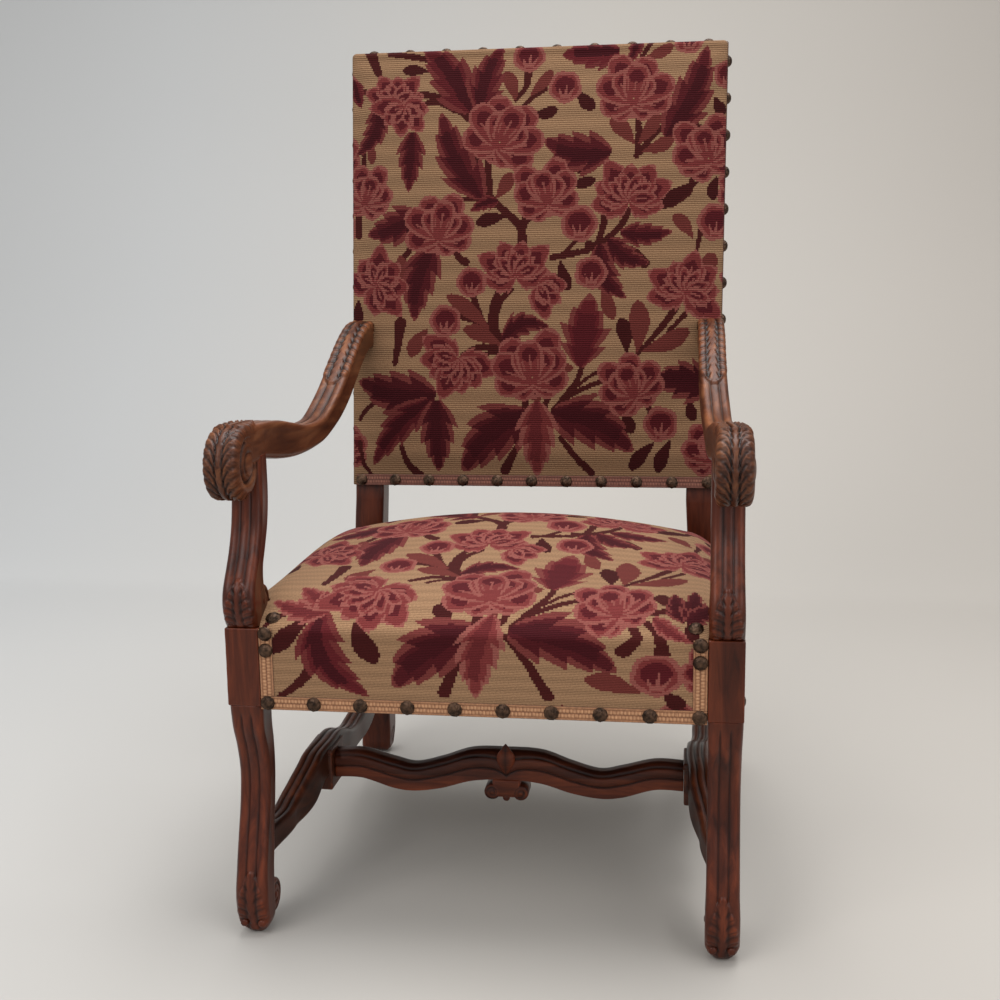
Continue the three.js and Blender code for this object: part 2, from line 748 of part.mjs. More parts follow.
// A waisted coil spring, one unbroken wire
const springHeight = railTop - strapTop - 2 * clearance - springWire;

class SpringLine extends THREE.Curve {
  getPoint(part, target = new THREE.Vector3()) {
    const waist = 4 * (part - 0.5) ** 2;
    const radius = springWaistRadius + (springWideRadius - springWaistRadius) * waist;
    const angle = part * springTurns * 2 * Math.PI;
    return target.set(radius * Math.cos(angle), radius * Math.sin(angle), part * springHeight);
  }
}

const wireShape = new THREE.Shape(Array.from({ length: wireSides }, (_, i) => {
  const angle = i * 2 * Math.PI / wireSides;
  return new THREE.Vector2(springWire / 2 * Math.cos(angle), springWire / 2 * Math.sin(angle));
}));
const springGeometry = new THREE.ExtrudeGeometry(wireShape, {
  steps: wireSteps * springTurns, bevelEnabled: false, extrudePath: new SpringLine(),
});
const springPoints = new SpringLine().getPoints(wireSteps * springTurns);
const springGaps = springPoints.flatMap((point, i) => (
  springPoints.slice(i + wireSteps / 2).map((other) => point.distanceTo(other) - springWire)));
console.log(`least gap of a seat spring to itself: ${Math.min(...springGaps).toFixed(1)} mm`);
for (const [name, sideX, sideY] of [
  ['front_left', -1, -1], ['front_right', 1, -1], ['rear_left', -1, 1], ['rear_right', 1, 1],
]) {
  const spring = springGeometry.clone().translate(
    sideX * springSpacingX / 2, blockDepth + sideRailRun / 2 + sideY * springSpacingY / 2,
    strapTop + clearance + springWire / 2);
  addPiece(`seat_spring_${name}`, solidOf(spring), steel);
}

// A dome over the seat: a grid of points on top, straight sides and a flat bottom
const seatBack = rearRailFront + rearRailThickness + clearance + coverThickness;
const gridShares = [0, 0.013, 0.038, 0.1, 0.26, 0.5, 0.74, 0.9, 0.962, 0.987, 1];

function edgeDrop(distance) {
  const near = 1 - Math.min(distance, seatEdgeRadius) / seatEdgeRadius;
  return seatEdgeRadius * (1 - Math.sqrt(1 - near * near));
}

function seatHalf(y) {
  return seatSideFront + (seatSideRear - seatSideFront) * (y - blockDepth) / sideRailRun;
}

function seatTop(x, y, inset) {
  const half = seatHalf(y) - inset;
  const u = x / half;
  const v = (y - seatFront - inset) / (seatBack - seatFront - 2 * inset);
  const edge = seatFrontEdgeHeight + (seatRearEdgeHeight - seatFrontEdgeHeight) * v;
  const rim = edge + (seatEdgeHeight - edge) * u * u;
  const crownRise = seatCrownHeight - (seatFrontEdgeHeight + seatRearEdgeHeight) / 2;
  const crown = crownRise * (1 - u * u) * 4 * v * (1 - v);
  const drop = edgeDrop(half - Math.abs(x)) + edgeDrop(y - seatFront - inset);
  return rim + crown - drop - inset;
}

// A solid between two sheets of grid points, point for point
function gridSolid(point, bottom) {
  const count = gridShares.length;
  const positions = [];
  const index = [];
  for (let j = 0; j < count; j += 1) {
    for (let i = 0; i < count; i += 1) positions.push(...point(gridShares[i], gridShares[j]));
  }
  for (let j = 0; j < count; j += 1) {
    for (let i = 0; i < count; i += 1) positions.push(...bottom(gridShares[i], gridShares[j]));
  }
  const at = (i, j, under) => (under ? count * count : 0) + j * count + i;
  const quad = (a, b, c, d) => index.push(a, b, c, a, c, d);
  for (let j = 0; j < count - 1; j += 1) {
    for (let i = 0; i < count - 1; i += 1) {
      quad(at(i, j), at(i + 1, j), at(i + 1, j + 1), at(i, j + 1));
      quad(at(i, j, true), at(i, j + 1, true), at(i + 1, j + 1, true), at(i + 1, j, true));
    }
  }
  for (let i = 0; i < count - 1; i += 1) {
    const last = count - 1;
    quad(at(i, 0), at(i, 0, true), at(i + 1, 0, true), at(i + 1, 0));
    quad(at(i + 1, last), at(i + 1, last, true), at(i, last, true), at(i, last));
    quad(at(0, i + 1), at(0, i + 1, true), at(0, i, true), at(0, i));
    quad(at(last, i), at(last, i, true), at(last, i + 1, true), at(last, i + 1));
  }
  const geometry = new THREE.BufferGeometry();
  geometry.setAttribute('position', new THREE.Float32BufferAttribute(positions, 3));
  geometry.setIndex(index);
  return solidOf(geometry);
}

function seatDome(inset, bottom) {
  const place = (a, b) => {
    const y = seatFront + inset + b * (seatBack - seatFront - 2 * inset);
    return [(2 * a - 1) * (seatHalf(y) - inset), y];
  };
  return gridSolid((a, b) => {
    const [x, y] = place(a, b);
    return [x, y, seatTop(x, y, inset)];
  }, (a, b) => [...place(a, b), bottom]);
}

const supportGrown = supportSolid(clearance);
const seatObstacles = [frontLegGrown, supportGrown, rearLegShadow]
  .flatMap((solid) => [solid, mirrorX(solid)]);
const hessianTop = railTop + clearance + clothThickness;
const stuffingInset = coverThickness + clearance;
addPiece('seat_cover', cut(
  seatDome(0, seatCoverBottom), seatDome(coverThickness, seatCoverBottom - cutOverrun), ...seatObstacles,
), tapestry);
addPiece('seat_stuffing', cut(seatDome(stuffingInset, hessianTop + clearance), ...seatObstacles), stuffing);
const hessianHalfFront = sideRailOuter(blockDepth) - coverThickness;
const hessianHalfRear = sideRailOuter(stileFront) - coverThickness;
const hessianFront = frontRailFace + coverThickness;
const hessianRear = seatBack - coverThickness - clearance;
addPiece('seat_hessian', cut(planBoard([
  [-hessianHalfFront, hessianFront], [hessianHalfFront, hessianFront],
  [hessianHalfRear, hessianRear], [-hessianHalfRear, hessianRear],
], railTop + clearance, hessianTop), ...seatObstacles), hessian);
const dustTop = crossStrapTop - strapThickness - clearance;
const dustRear = rearRailFront + rearRailThickness - coverThickness;
addPiece('seat_dust_cover', cut(planBoard([
  [-hessianHalfFront, hessianFront], [hessianHalfFront, hessianFront],
  [hessianHalfRear, dustRear], [-hessianHalfRear, dustRear],
], dustTop - clothThickness, dustTop), ...seatObstacles), lining);

// Back webbing and hessian on the front of the back frame, then stuffing and cover
const backTop = stileTop + clearance + coverThickness;
const backOuterHalf = halfBack + clearance + coverThickness;
const backStrapHalf = stileInner + backStrapLap;
for (let i = 0; i < backStrapsUp; i += 1) {
  const x = (i - (backStrapsUp - 1) / 2) * backStrapSpacing;
  addPiece(`back_strap_up_${i + 1}`, leaned(boxBetween(
    [x - strapWidth / 2, -clearance - backStrapThickness, backRailLow + strapEndLap],
    [x + strapWidth / 2, -clearance, stileTop - strapEndLap],
  )), webbing);
}
const backCrossStrap = -2 * clearance - backStrapThickness;
for (let i = 0; i < backStrapsAcross; i += 1) {
  const z = backRailLow + (backRailTop + backRailHeight - backRailLow) * (i + 1) / (backStrapsAcross + 1);
  addPiece(`back_strap_across_${i + 1}`, leaned(boxBetween(
    [-backStrapHalf, backCrossStrap - backStrapThickness, z - strapWidth / 2],
    [backStrapHalf, backCrossStrap, z + strapWidth / 2],
  )), webbing);
}
const backHessianBack = backCrossStrap - backStrapThickness - clearance;
const backHessianFront = backHessianBack - clothThickness;
const armCuts = [armGrown, mirrorX(armGrown)];
addPiece('back_hessian', cut(leaned(boxBetween(
  [-backStrapHalf - cutOverrun, backHessianFront, backRailLow + coverThickness],
  [backStrapHalf + cutOverrun, backHessianBack, stileTop - coverThickness],
)), ...armCuts), hessian);

// The front of the padded back, with rounded edges and a crown that is full at the middle
function backFace(x, z, inset) {
  const u = Math.max(0, 1 - Math.abs(x) / (backOuterHalf - backMargin));
  const middle = (backBottom + backTop) / 2;
  const v = Math.max(0, 1 - Math.abs(z - middle) / (backTop - middle - backMargin));
  const ease = (share) => 1 - (1 - Math.min(1, share)) ** 3;
  const side = Math.max(0, backCornerRadius - (backOuterHalf - Math.abs(x))) / backCornerRadius;
  const top = Math.max(0, backCornerRadius - (backTop - z)) / backCornerRadius;
  const round = backCornerRadius * Math.max(side, top) ** 2;
  return -(backPad + backCrown * ease(u) * ease(v)) + round + inset;
}

function backSlab(inset, rear, low) {
  const place = (a, b) => [(2 * a - 1) * (backOuterHalf - inset), low + b * (backTop - inset - low)];
  return gridSolid((a, b) => {
    const [x, z] = place(a, b);
    return [x, backFace(x, z, inset), z];
  }, (a, b) => {
    const [x, z] = place(a, b);
    return [x, rear, z];
  });
}

function leanedSolid(solid) {
  return solidOf(reshape(geometryOf(solid), leanBack));
}

addPiece('back_cover', cut(leanedSolid(cut(
  backSlab(0, backWrap, backBottom),
  backSlab(coverThickness, backWrap + cutOverrun, backBottom - cutOverrun),
)), ...armCuts), tapestry);
const behindStuffing = solidOf(boxBetween(
  [-backOuterHalf, backHessianFront - clearance, backBottom],
  [backOuterHalf, backCornerRadius + cutOverrun, backTop]));
const backStuffing = cut(
  backSlab(coverThickness + 2 * clearance, backCornerRadius, backRailLow), behindStuffing);
addPiece('back_stuffing', cut(leanedSolid(backStuffing), ...armCuts), stuffing);

const outerCoverFront = stileDepth + clearance;
addPiece('back_outer_cover', leaned(boxBetween(
  [-halfBack, outerCoverFront, backBottom], [halfBack, outerCoverFront + coverThickness, stileTop],
)), lining);

// Nail heads: six-sided domes, laid along a strip
function nailHead() {
  const profile = [
    [0, -nailSeat], [nailRadius, -nailSeat], [nailRadius * nailShoulderShare, nailShoulderRise],
    [0, nailRise],
  ].map(([radius, height]) => new THREE.Vector2(radius, height));
  return new THREE.LatheGeometry(profile, nailSides);
}

// A gimp strip with nails. The strip is built flat, facing +Y, along X and centred on x = 0
function gimpStrip(length, nails) {
  const strip = solidOf(boxBetween(
    [-length / 2, 0, -gimpWidth / 2], [length / 2, gimpThickness, gimpWidth / 2]));
  const heads = nails.map((place) => solidOf(nailHead().translate(place, gimpThickness, 0)));
  return join(strip, ...heads);
}

function evenNails(length, end) {
  const run = length - 2 * end;
  const gaps = Math.round(run / nailSpacing);
  return Array.from({ length: gaps + 1 }, (_, i) => -run / 2 + run * i / gaps);
}

function placed(solid, basis, offset) {
  const matrix = new THREE.Matrix4().makeBasis(...basis).setPosition(...offset);
  return geometryOf(solid).applyMatrix4(matrix);
}

const forward = yAxis.clone().negate();
const floorward = zAxis.clone().negate();
const toLeft = xAxis.clone().negate();
const seatStripHalf = legInner - clearance;
const seatGimpFace = seatFront - clearance;
const seatGimpMiddle = seatCoverBottom + gimpWidth / 2;
addPiece('seat_gimp_front', solidOf(placed(
  gimpStrip(2 * seatStripHalf, evenNails(2 * seatStripHalf, gimpWidth / 2)),
  [toLeft, forward, zAxis], [0, seatGimpFace, seatGimpMiddle])), gimp);

const postStripLow = seatCoverBottom + gimpWidth + clearance;
const postStripHigh = blockTop - clearance;
const postStripLength = postStripHigh - postStripLow;
const postNailPlaces = Array.from({ length: postNails }, (_, i) => (
  postStripLength / 2 - nailRadius - i * postNailSpacing));
const postStrip = solidOf(placed(
  gimpStrip(postStripLength, postNailPlaces), [zAxis, forward, xAxis],
  [seatStripHalf - gimpWidth / 2, seatGimpFace, (postStripLow + postStripHigh) / 2]));
addPiece('seat_gimp_post_left', mirrorX(postStrip), gimp);
addPiece('seat_gimp_post_right', postStrip, gimp);

const sideStripStart = blockDepth + clearance;
const sideStripEnd = rearFrontAt(seatCoverBottom + gimpWidth) - clearance - cutOverrun;
const sideStripLength = sideStripEnd - sideStripStart;
const flatSideStrip = placed(
  gimpStrip(sideStripLength, evenNails(sideStripLength, gimpWidth)), [yAxis, xAxis, floorward],
  [clearance, (sideStripStart + sideStripEnd) / 2, seatGimpMiddle]);
const sideStrip = solidOf(reshape(flatSideStrip, (point) => { point.x += seatHalf(point.y); }));
addPiece('seat_gimp_side_left', mirrorX(sideStrip), gimp);
addPiece('seat_gimp_side_right', sideStrip, gimp);

const backStripHalf = backOuterHalf - backCornerRadius;
const backFrontFace = -backPad - clearance;
addPiece('back_gimp_bottom', leaned(placed(
  gimpStrip(2 * backStripHalf, evenNails(2 * backStripHalf, gimpWidth / 2)), [toLeft, forward, zAxis],
  [0, backFrontFace, backBottom + gimpWidth / 2])), gimp);
const backStripMiddle = backWrap - gimpWidth / 2;
const backSideLength = backTop - backBottom;
const backSideStrip = leaned(placed(
  gimpStrip(backSideLength, evenNails(backSideLength, nailSpacing / 2)), [floorward, xAxis, forward],
  [backOuterHalf + clearance, backStripMiddle, backBottom + backSideLength / 2]));
addPiece('back_gimp_left', mirrorX(backSideStrip), gimp);
addPiece('back_gimp_right', backSideStrip, gimp);
addPiece('back_gimp_top', leaned(placed(
  gimpStrip(2 * backOuterHalf, evenNails(2 * backOuterHalf, nailSpacing / 2)), [xAxis, zAxis, forward],
  [0, backStripMiddle, backTop + clearance])), gimp);

// The origin lies on the floor under the middle of the chair
const bounds = new THREE.Box3().setFromObject(chair);
const middle = bounds.getCenter(new THREE.Vector3());
chair.position.set(-middle.x, -middle.y, -bounds.min.z);

export default chair;
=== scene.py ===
# A high-back upholstered armchair: carved walnut, tapestry seat and back, gimp with nail heads.
# Lengths are in millimetres on the chair's own grid (x to the right, y back from the front
# faces of the front posts, z up) and become metres in the row frame when a mesh is made.
import math
from itertools import product

import bpy
import numpy as np
from mathutils import Matrix, Vector


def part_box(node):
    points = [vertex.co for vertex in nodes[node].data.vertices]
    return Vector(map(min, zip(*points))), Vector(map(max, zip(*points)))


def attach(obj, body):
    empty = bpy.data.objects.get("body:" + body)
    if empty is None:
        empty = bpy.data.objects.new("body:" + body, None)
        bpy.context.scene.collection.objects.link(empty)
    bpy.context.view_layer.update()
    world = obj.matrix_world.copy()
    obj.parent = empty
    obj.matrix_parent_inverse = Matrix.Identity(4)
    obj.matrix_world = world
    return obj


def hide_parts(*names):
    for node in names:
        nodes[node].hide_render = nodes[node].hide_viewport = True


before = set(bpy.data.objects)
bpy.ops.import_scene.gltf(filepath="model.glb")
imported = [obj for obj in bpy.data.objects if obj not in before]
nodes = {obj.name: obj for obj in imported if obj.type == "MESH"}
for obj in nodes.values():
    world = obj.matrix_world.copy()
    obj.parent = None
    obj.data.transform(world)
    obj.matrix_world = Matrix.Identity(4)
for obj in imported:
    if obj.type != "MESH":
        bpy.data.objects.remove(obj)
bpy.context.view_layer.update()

# Sizes shared with the part's source
CLEARANCE = 0.3
COVER = 2.0
SEAT_FRONT = 1.0
HALF_FRONT = 315.5
LEG_WOOD = 43.0
BLOCK_DEPTH = 49.0
BLOCK_HEIGHT = 100.0
BLOCK_TOP = 400.0
BLOCK_BOTTOM = BLOCK_TOP - BLOCK_HEIGHT
LEG_CENTRE = HALF_FRONT - LEG_WOOD / 2
LEG_INNER = HALF_FRONT - LEG_WOOD
HALF_BACK = 288.0
STILE_WIDTH = 46.0
STILE_DEPTH = 44.0
STILE_FRONT = 549.0
STILE_INNER = HALF_BACK - STILE_WIDTH
SEAT_LEVEL = 465.0
STILE_TOP = 1168.0
BACK_LEAN = 117.0
BACK_FLARE = 8.0
LEG_SPLAY = 27.0
LEG_RAKE = 92.0
BACK_BOTTOM = 487.0

# Outlines as shares: the place along the piece, then its low or front side and its high or rear side
FRONT_LEG_SHARES = (
    (0, 0.02, 0.42), (0.07, -0.18, 0.5), (0.15, -0.29, 0.53), (0.25, -0.22, 0.59), (0.33, -0.1, 0.69),
    (0.43, 0.1, 0.8), (0.55, 0.33, 0.96), (0.68, 0.45, 1.08), (0.8, 0.31, 1.06), (0.9, 0.08, 0.97),
    (1, 0.02, 0.98),
)
SUPPORT_SHARES = (
    (0, 0.06, 0.94), (0.05, -0.08, 1), (0.14, -0.18, 0.94), (0.235, -0.1, 0.82), (0.33, 0.16, 0.86),
    (0.42, 0.41, 1.06), (0.54, 0.65, 1.31), (0.66, 0.78, 1.45), (0.78, 0.84, 1.5), (1, 0.86, 1.48),
)
ARM_SHARES = (
    (0, 0.05, 0.384), (0.054, 0.08, 0.384), (0.098, 0.094, 0.377), (0.198, 0.038, 0.352),
    (0.285, 0.006, 0.296), (0.378, 0, 0.233), (0.478, 0.019, 0.22), (0.537, 0.063, 0.27),
    (0.62, 0.17, 0.428), (0.692, 0.308, 0.597), (0.769, 0.49, 0.774), (0.858, 0.673, 0.937),
    (0.915, 0.742, 0.994), (1, 0.761, 1),
)
# The way from the arm's front to its rear, and how far outwards it still stands there
ARM_TOE_SHARES = ((0, 1), (0.088, 0.79), (0.409, 0.5), (0.78, 0.11), (1, 0))
# The height, how far the leg rakes back, and its depth
REAR_LEG_SHARES = (
    (0, 1, 0.52), (0.026, 0.92, 0.86), (0.086, 0.9, 1.09), (0.215, 0.72, 1.18), (0.43, 0.42, 1.13),
    (0.645, 0.15, 1.07), (0.86, 0, 1.04),
)
SIDE_STRETCHER_SHARES = (
    (0, 0, 0.43), (0.065, 0.06, 0.44), (0.126, 0.11, 0.48), (0.171, 0.13, 0.63), (0.211, 0.21, 0.81),
    (0.25, 0.37, 0.94), (0.29, 0.464, 0.988), (0.348, 0.476, 1), (0.403, 0.476, 0.988),
    (0.452, 0.43, 0.905), (0.524, 0.286, 0.714), (0.602, 0.19, 0.583), (0.679, 0.155, 0.607),
    (0.774, 0.18, 0.643), (0.871, 0.226, 0.68), (1, 0.262, 0.714),
)
SIDE_STRETCHER_BOW_SHARES = (
    (0, 0), (0.126, 0.42), (0.25, 0.9), (0.348, 1), (0.47, 0.92), (0.65, 0.6), (1, 0),
)
CROSS_SHARES = (
    (0, 0.33, 1), (0.2, 0.27, 0.97), (0.37, 0.09, 0.76), (0.53, 0, 0.61), (0.66, 0.045, 0.7),
    (0.84, 0.24, 0.866), (1, 0.24, 0.85),
)

# The chair's own grid lies this far from the row frame along y
FRONT_RAIL_FACE = SEAT_FRONT + COVER + CLEARANCE
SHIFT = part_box("front_seat_rail")[0][1] * 1000 - FRONT_RAIL_FACE


# Small helpers
def row_frame(points):
    moved = np.asarray(points, float).copy()
    moved[..., 1] += SHIFT
    return moved / 1000


def smooth(low, high, value):
    part = unit((np.asarray(value, float) - low) / (high - low))
    return part * part * (3 - 2 * part)


def unit(value):
    """The value, kept between 0 and 1."""
    return np.clip(value, 0, 1)


def bell(value, width):
    """1 where the value is 0, and almost 0 beyond twice the width."""
    return np.exp(-((value / width) ** 2))


def xyz(x, y, z):
    return np.stack([x, y, z], axis=-1)


def share_at(shares, place):
    places = np.array([row[0] for row in shares], float)
    values = np.array([row[1] for row in shares], float)
    place = np.clip(np.asarray(place, float), places[0], places[-1])
    i = np.clip(np.searchsorted(places, place, side="right") - 1, 0, len(places) - 2)
    part = (place - places[i]) / (places[i + 1] - places[i])
    return values[i] + (values[i + 1] - values[i]) * part * part * (3 - 2 * part)


def spline(points, steps):
    """A Catmull-Rom line through the points, the same as the part's outlines."""
    points = np.asarray(points, float)
    last = len(points) - 1
    t = np.linspace(0, last, last * steps + 1)
    i = np.minimum(t.astype(int), last - 1)
    w = (t - i)[:, None]
    p0, p1 = points[np.maximum(i - 1, 0)], points[i]
    p2, p3 = points[i + 1], points[np.minimum(i + 2, last)]
    v0, v1 = (p2 - p0) / 2, (p3 - p1) / 2
    return (2 * p1 - 2 * p2 + v0 + v1) * w**3 + (-3 * p1 + 3 * p2 - 2 * v0 - v1) * w**2 + v0 * w + p1


def grid_quads(rows, count):
    """The corners of each quad of a grid, row by row."""
    i = np.arange(rows - 1)[:, None] * count + np.arange(count - 1)[None, :]
    return np.stack([i, i + 1, i + 1 + count, i + count], axis=-1)


def used_points(points, quads):
    """The points that the quads use, and the quads on those points."""
    points = points.reshape(-1, 3)
    used = np.unique(quads)
    place = np.full(len(points), -1)
    place[used] = np.arange(len(used))
    return points[used], place[quads]


def placed(name, data):
    """A new object in the scene."""
    made = bpy.data.objects.new(name, data)
    bpy.context.scene.collection.objects.link(made)
    return made


def add_mesh(name, form, finish, faceted=False, colours=None, uv=None):
    """A mesh object from a form in millimetres: its points, quads, triangles and relief per point.
    colours and uv hold a row for each face corner."""
    verts, quads, tris, relief = form
    mesh = bpy.data.meshes.new(name)
    verts = row_frame(verts)
    quads, tris = np.asarray(quads, int).reshape(-1, 4), np.asarray(tris, int).reshape(-1, 3)
    loops = np.concatenate([quads.ravel(), tris.ravel()])
    starts = np.concatenate([np.arange(len(quads)) * 4, quads.size + np.arange(len(tris)) * 3])
    mesh.vertices.add(len(verts))
    mesh.vertices.foreach_set("co", verts.ravel())
    mesh.loops.add(len(loops))
    mesh.loops.foreach_set("vertex_index", loops.astype(np.int32))
    mesh.polygons.add(len(starts))
    mesh.polygons.foreach_set("loop_start", starts.astype(np.int32))
    mesh.update(calc_edges=True)
    mesh.validate()
    mesh.materials.append(finish)
    mesh.polygons.foreach_set("use_smooth", np.full(len(mesh.polygons), not faceted))
    if relief is not None:
        layer = mesh.attributes.new("relief", "FLOAT", "POINT")
        layer.data.foreach_set("value", np.asarray(relief, np.float32))
    if uv is not None:
        layer = mesh.uv_layers.new(name="cloth")
        layer.data.foreach_set("uv", np.asarray(uv, np.float32).ravel())
    if colours is not None:
        layer = mesh.color_attributes.new("pattern", "FLOAT_COLOR", "CORNER")
        layer.data.foreach_set("color", np.asarray(colours, np.float32).ravel())
    return placed(name, mesh)


def shell(verts, quads, tris, relief):
    """A closed form with its faces turned outwards: points, quads, triangles, relief value per point."""
    verts = np.asarray(verts, float)
    quads, tris = np.asarray(quads, int).reshape(-1, 4), np.asarray(tris, int).reshape(-1, 3)
    centred = verts - verts.mean(axis=0)
    corners = np.concatenate([quads[:, :3], quads[:, [0, 2, 3]], tris])
    a, b, c = (centred[corners[:, k]] for k in range(3))
    if np.einsum("ij,ij->", a, np.cross(b, c)) < 0:
        quads, tris = quads[:, ::-1], tris[:, ::-1]
    return verts, quads, tris, np.asarray(relief, float)


def tube(points, relief):
    """A closed shell through rows of rings, with a fan over each end."""
    rows, count = points.shape[:2]
    verts = points.reshape(-1, 3)
    row, step = np.arange(rows - 1)[:, None] * count, np.arange(count)[None, :]
    after = (step + 1) % count
    after_this = [row + step, row + after, row + after + count, row + step + count]
    quads = np.stack(after_this, axis=-1).reshape(-1, 4)
    tail = rows * count
    verts = np.vstack([verts, verts[:count].mean(axis=0), verts[-count:].mean(axis=0)])
    around = np.arange(count)
    ahead = (around + 1) % count
    first = np.stack([ahead, around, np.full(count, tail)], axis=-1)
    last = np.stack([tail - count + around, tail - count + ahead, np.full(count, tail + 1)], axis=-1)
    values = np.concatenate([relief.ravel(), [relief[0].mean(), relief[-1].mean()]])
    return shell(verts, quads, np.concatenate([first, last]), values)


def weld(parts):
    """Joins shells into one set of arrays."""
    start, verts, quads, tris, relief = 0, [], [], [], []
    for part in parts:
        verts.append(part[0])
        quads.append(part[1] + start)
        tris.append(part[2] + start)
        relief.append(part[3])
        start += len(part[0])
    return np.vstack(verts), np.vstack(quads), np.vstack(tris), np.concatenate(relief)


def mirrored(parts):
    flip = np.array([-1, 1, 1])
    return [(verts * flip, quads[:, ::-1], tris[:, ::-1], relief) for verts, quads, tris, relief in parts]


# Carved wood: bars with a section that follows the part's outlines, and scrolls
OUTLINE_STEPS, SECTION_STEPS = 24, 8
CORNER_ROOM = 0.46


def bar_rows(shares, start, length, low, rise):
    """The rows of a bar in millimetres, from the shares of its outline."""
    return [(start + a * length, low + l * rise, low + h * rise) for a, l, h in shares]


def outline_stations(rows, gap):
    """Evenly spaced [along, low, high, run] stations through the rows of a bar."""
    line = spline(rows, OUTLINE_STEPS)
    middle = np.stack([line[:, 0], (line[:, 1] + line[:, 2]) / 2], axis=1)
    run = np.concatenate([[0], np.cumsum(np.linalg.norm(np.diff(middle, axis=0), axis=1))])
    at = np.linspace(0, run[-1], max(8, int(round(run[-1] / gap))) + 1)
    return np.stack([np.interp(at, run, line[:, k]) for k in range(3)] + [at], axis=1)


def section_at(rows, place):
    """The low and the high side of a bar at a place along it."""
    line = spline(rows, SECTION_STEPS)
    return np.interp(place, line[:, 0], line[:, 1]), np.interp(place, line[:, 0], line[:, 2])


def ring_pattern(counts, corner_steps):
    """Where each point of a rounded section sits: its side, its share along that side, its outward angle."""
    low_count, side_count, high_count = counts
    pattern = []
    for side, count in enumerate((low_count, side_count, high_count, side_count)):
        start = -90 + 90 * side
        for k in range(count):
            pattern.append((side, -1 + 2 * k / (count - 1), start))
        for k in range(1, corner_steps):
            pattern.append((side + 4, 1, start + 90 * k / corner_steps))
    return np.array(pattern, float)


def bar_shell(stations, half, corner, place, carve, counts=(28, 18, 22), corner_steps=6):
    """A closed carved bar. place(along, across, side) gives points, carve gives heights by side."""
    kind, share, angle = ring_pattern(counts, corner_steps).T
    kind, angle = kind.astype(int), np.radians(angle)
    along, low, high, run = (stations[:, k][:, None] for k in range(4))
    half = np.broadcast_to(np.asarray(half, float).reshape(-1, 1), along.shape)
    low_corner, high_corner = corner if isinstance(corner, tuple) else (corner, corner)
    room = CORNER_ROOM * np.minimum(high - low, 2 * half)
    low_radius, high_radius = np.minimum(low_corner, room), np.minimum(high_corner, room)
    # sides: 0 is low, 1 is +, 2 is high and 3 is -. Corners: 4 is low and +, 5 is + and high,
    # 6 is high and -, 7 is - and low
    radius = np.where(np.isin(kind, (1, 2, 3, 5, 6)), high_radius, low_radius)
    one = np.ones(len(kind))
    sign_x = np.choose(kind, [share, one, -share, -one, one, one, -one, -one])
    sign_s = np.choose(kind, [-one, share, one, -share, -one, one, one, -one])
    nx, ns = np.cos(angle), np.sin(angle)
    across = sign_x * (half - radius) + radius * nx
    side = (low + high) / 2 + sign_s * ((high - low) / 2 - radius) + radius * ns
    lift = (sign_s + 1) / 2
    upright = np.isin(kind, (1, 3))
    side = np.where(upright, (low + low_radius) * (1 - lift) + (high - high_radius) * lift, side)
    height, relief = np.zeros(across.shape), np.zeros(across.shape)
    for name, toward in (("low", -ns), ("high", ns), ("inner", -nx), ("outer", nx)):
        level = name in ("low", "high")
        t, reach = (across, half) if level else (side - (low + high) / 2, (high - low) / 2)
        value, shade = carve(name, along + 0 * t, t, reach + 0 * t, run + 0 * t)
        weight = unit(toward) ** 2
        height += weight * value
        relief += weight * shade
    return tube(place(along + 0 * across, across + nx * height, side + ns * height), relief)


def disc_shell(centre, profile, rim=None, steps=96, axis="x"):
    """A closed turned form about an axis across the chair. profile holds (offset, radius) pairs;
    rim(angle, offset, radius) gives an outward height, a sideways one and a relief value."""
    profile = np.asarray(profile, float)
    angle = np.linspace(0, 2 * np.pi, steps, endpoint=False)[None, :]
    offset, radius = (np.repeat(profile[:, k:k + 1], steps, axis=1) for k in (0, 1))
    relief = np.full(offset.shape, 0.7)
    if rim is not None:
        push, slide, relief = rim(angle + 0 * offset, offset, radius)
        radius, offset = radius + push, offset + slide
    y, z = -np.cos(angle) * radius, np.sin(angle) * radius
    turned = [offset, y, z] if axis == "x" else [y, offset, z]
    return tube(np.stack([middle + part for middle, part in zip(centre, turned)], axis=-1), relief)


def block_shell(low, high, radius, gap=5.0):
    """A block with worn round edges."""
    low, high = np.asarray(low, float), np.asarray(high, float)
    near = radius * (1 - np.cos(np.linspace(0, np.pi / 2, 5)))[:-1]
    axes = []
    for start, end in zip(low, high):
        inner = np.linspace(start + radius, end - radius, max(3, int((end - start) / gap)))
        axes.append(np.concatenate([start + near, inner, (end - near)[::-1]]))
    verts, faces, index = [], [], {}

    def point(place):
        if place not in index:
            index[place] = len(verts)
            verts.append([line[k] for line, k in zip(axes, place)])
        return index[place]

    n = [len(line) - 1 for line in axes]
    for u, v, w in ((0, 1, 2), (1, 2, 0), (2, 0, 1)):
        for end, i, j in product((0, n[w]), range(n[u]), range(n[v])):
            quad = []
            for di, dj in ((0, 0), (1, 0), (1, 1), (0, 1)):
                place = [0, 0, 0]
                place[u], place[v], place[w] = i + di, j + dj, end
                quad.append(point(tuple(place)))
            faces.append(quad if end else quad[::-1])
    verts = np.array(verts)
    inner = np.clip(verts, low + radius, high - radius)
    away = verts - inner
    edge = (np.abs(away) > radius * 0.3).sum(axis=1)
    away = away / np.maximum(np.linalg.norm(away, axis=1, keepdims=True), 1e-9)
    verts = inner + away * radius
    x, y, z = verts.T
    wave = np.sin(x * 0.31 + z * 0.17) * np.sin(y * 0.27 + z * 0.11)
    verts = verts - away * (0.12 + 0.18 * wave[:, None] * (edge[:, None] > 1))
    return shell(verts, faces, [], np.where(edge > 1, 1.0, 0.78))


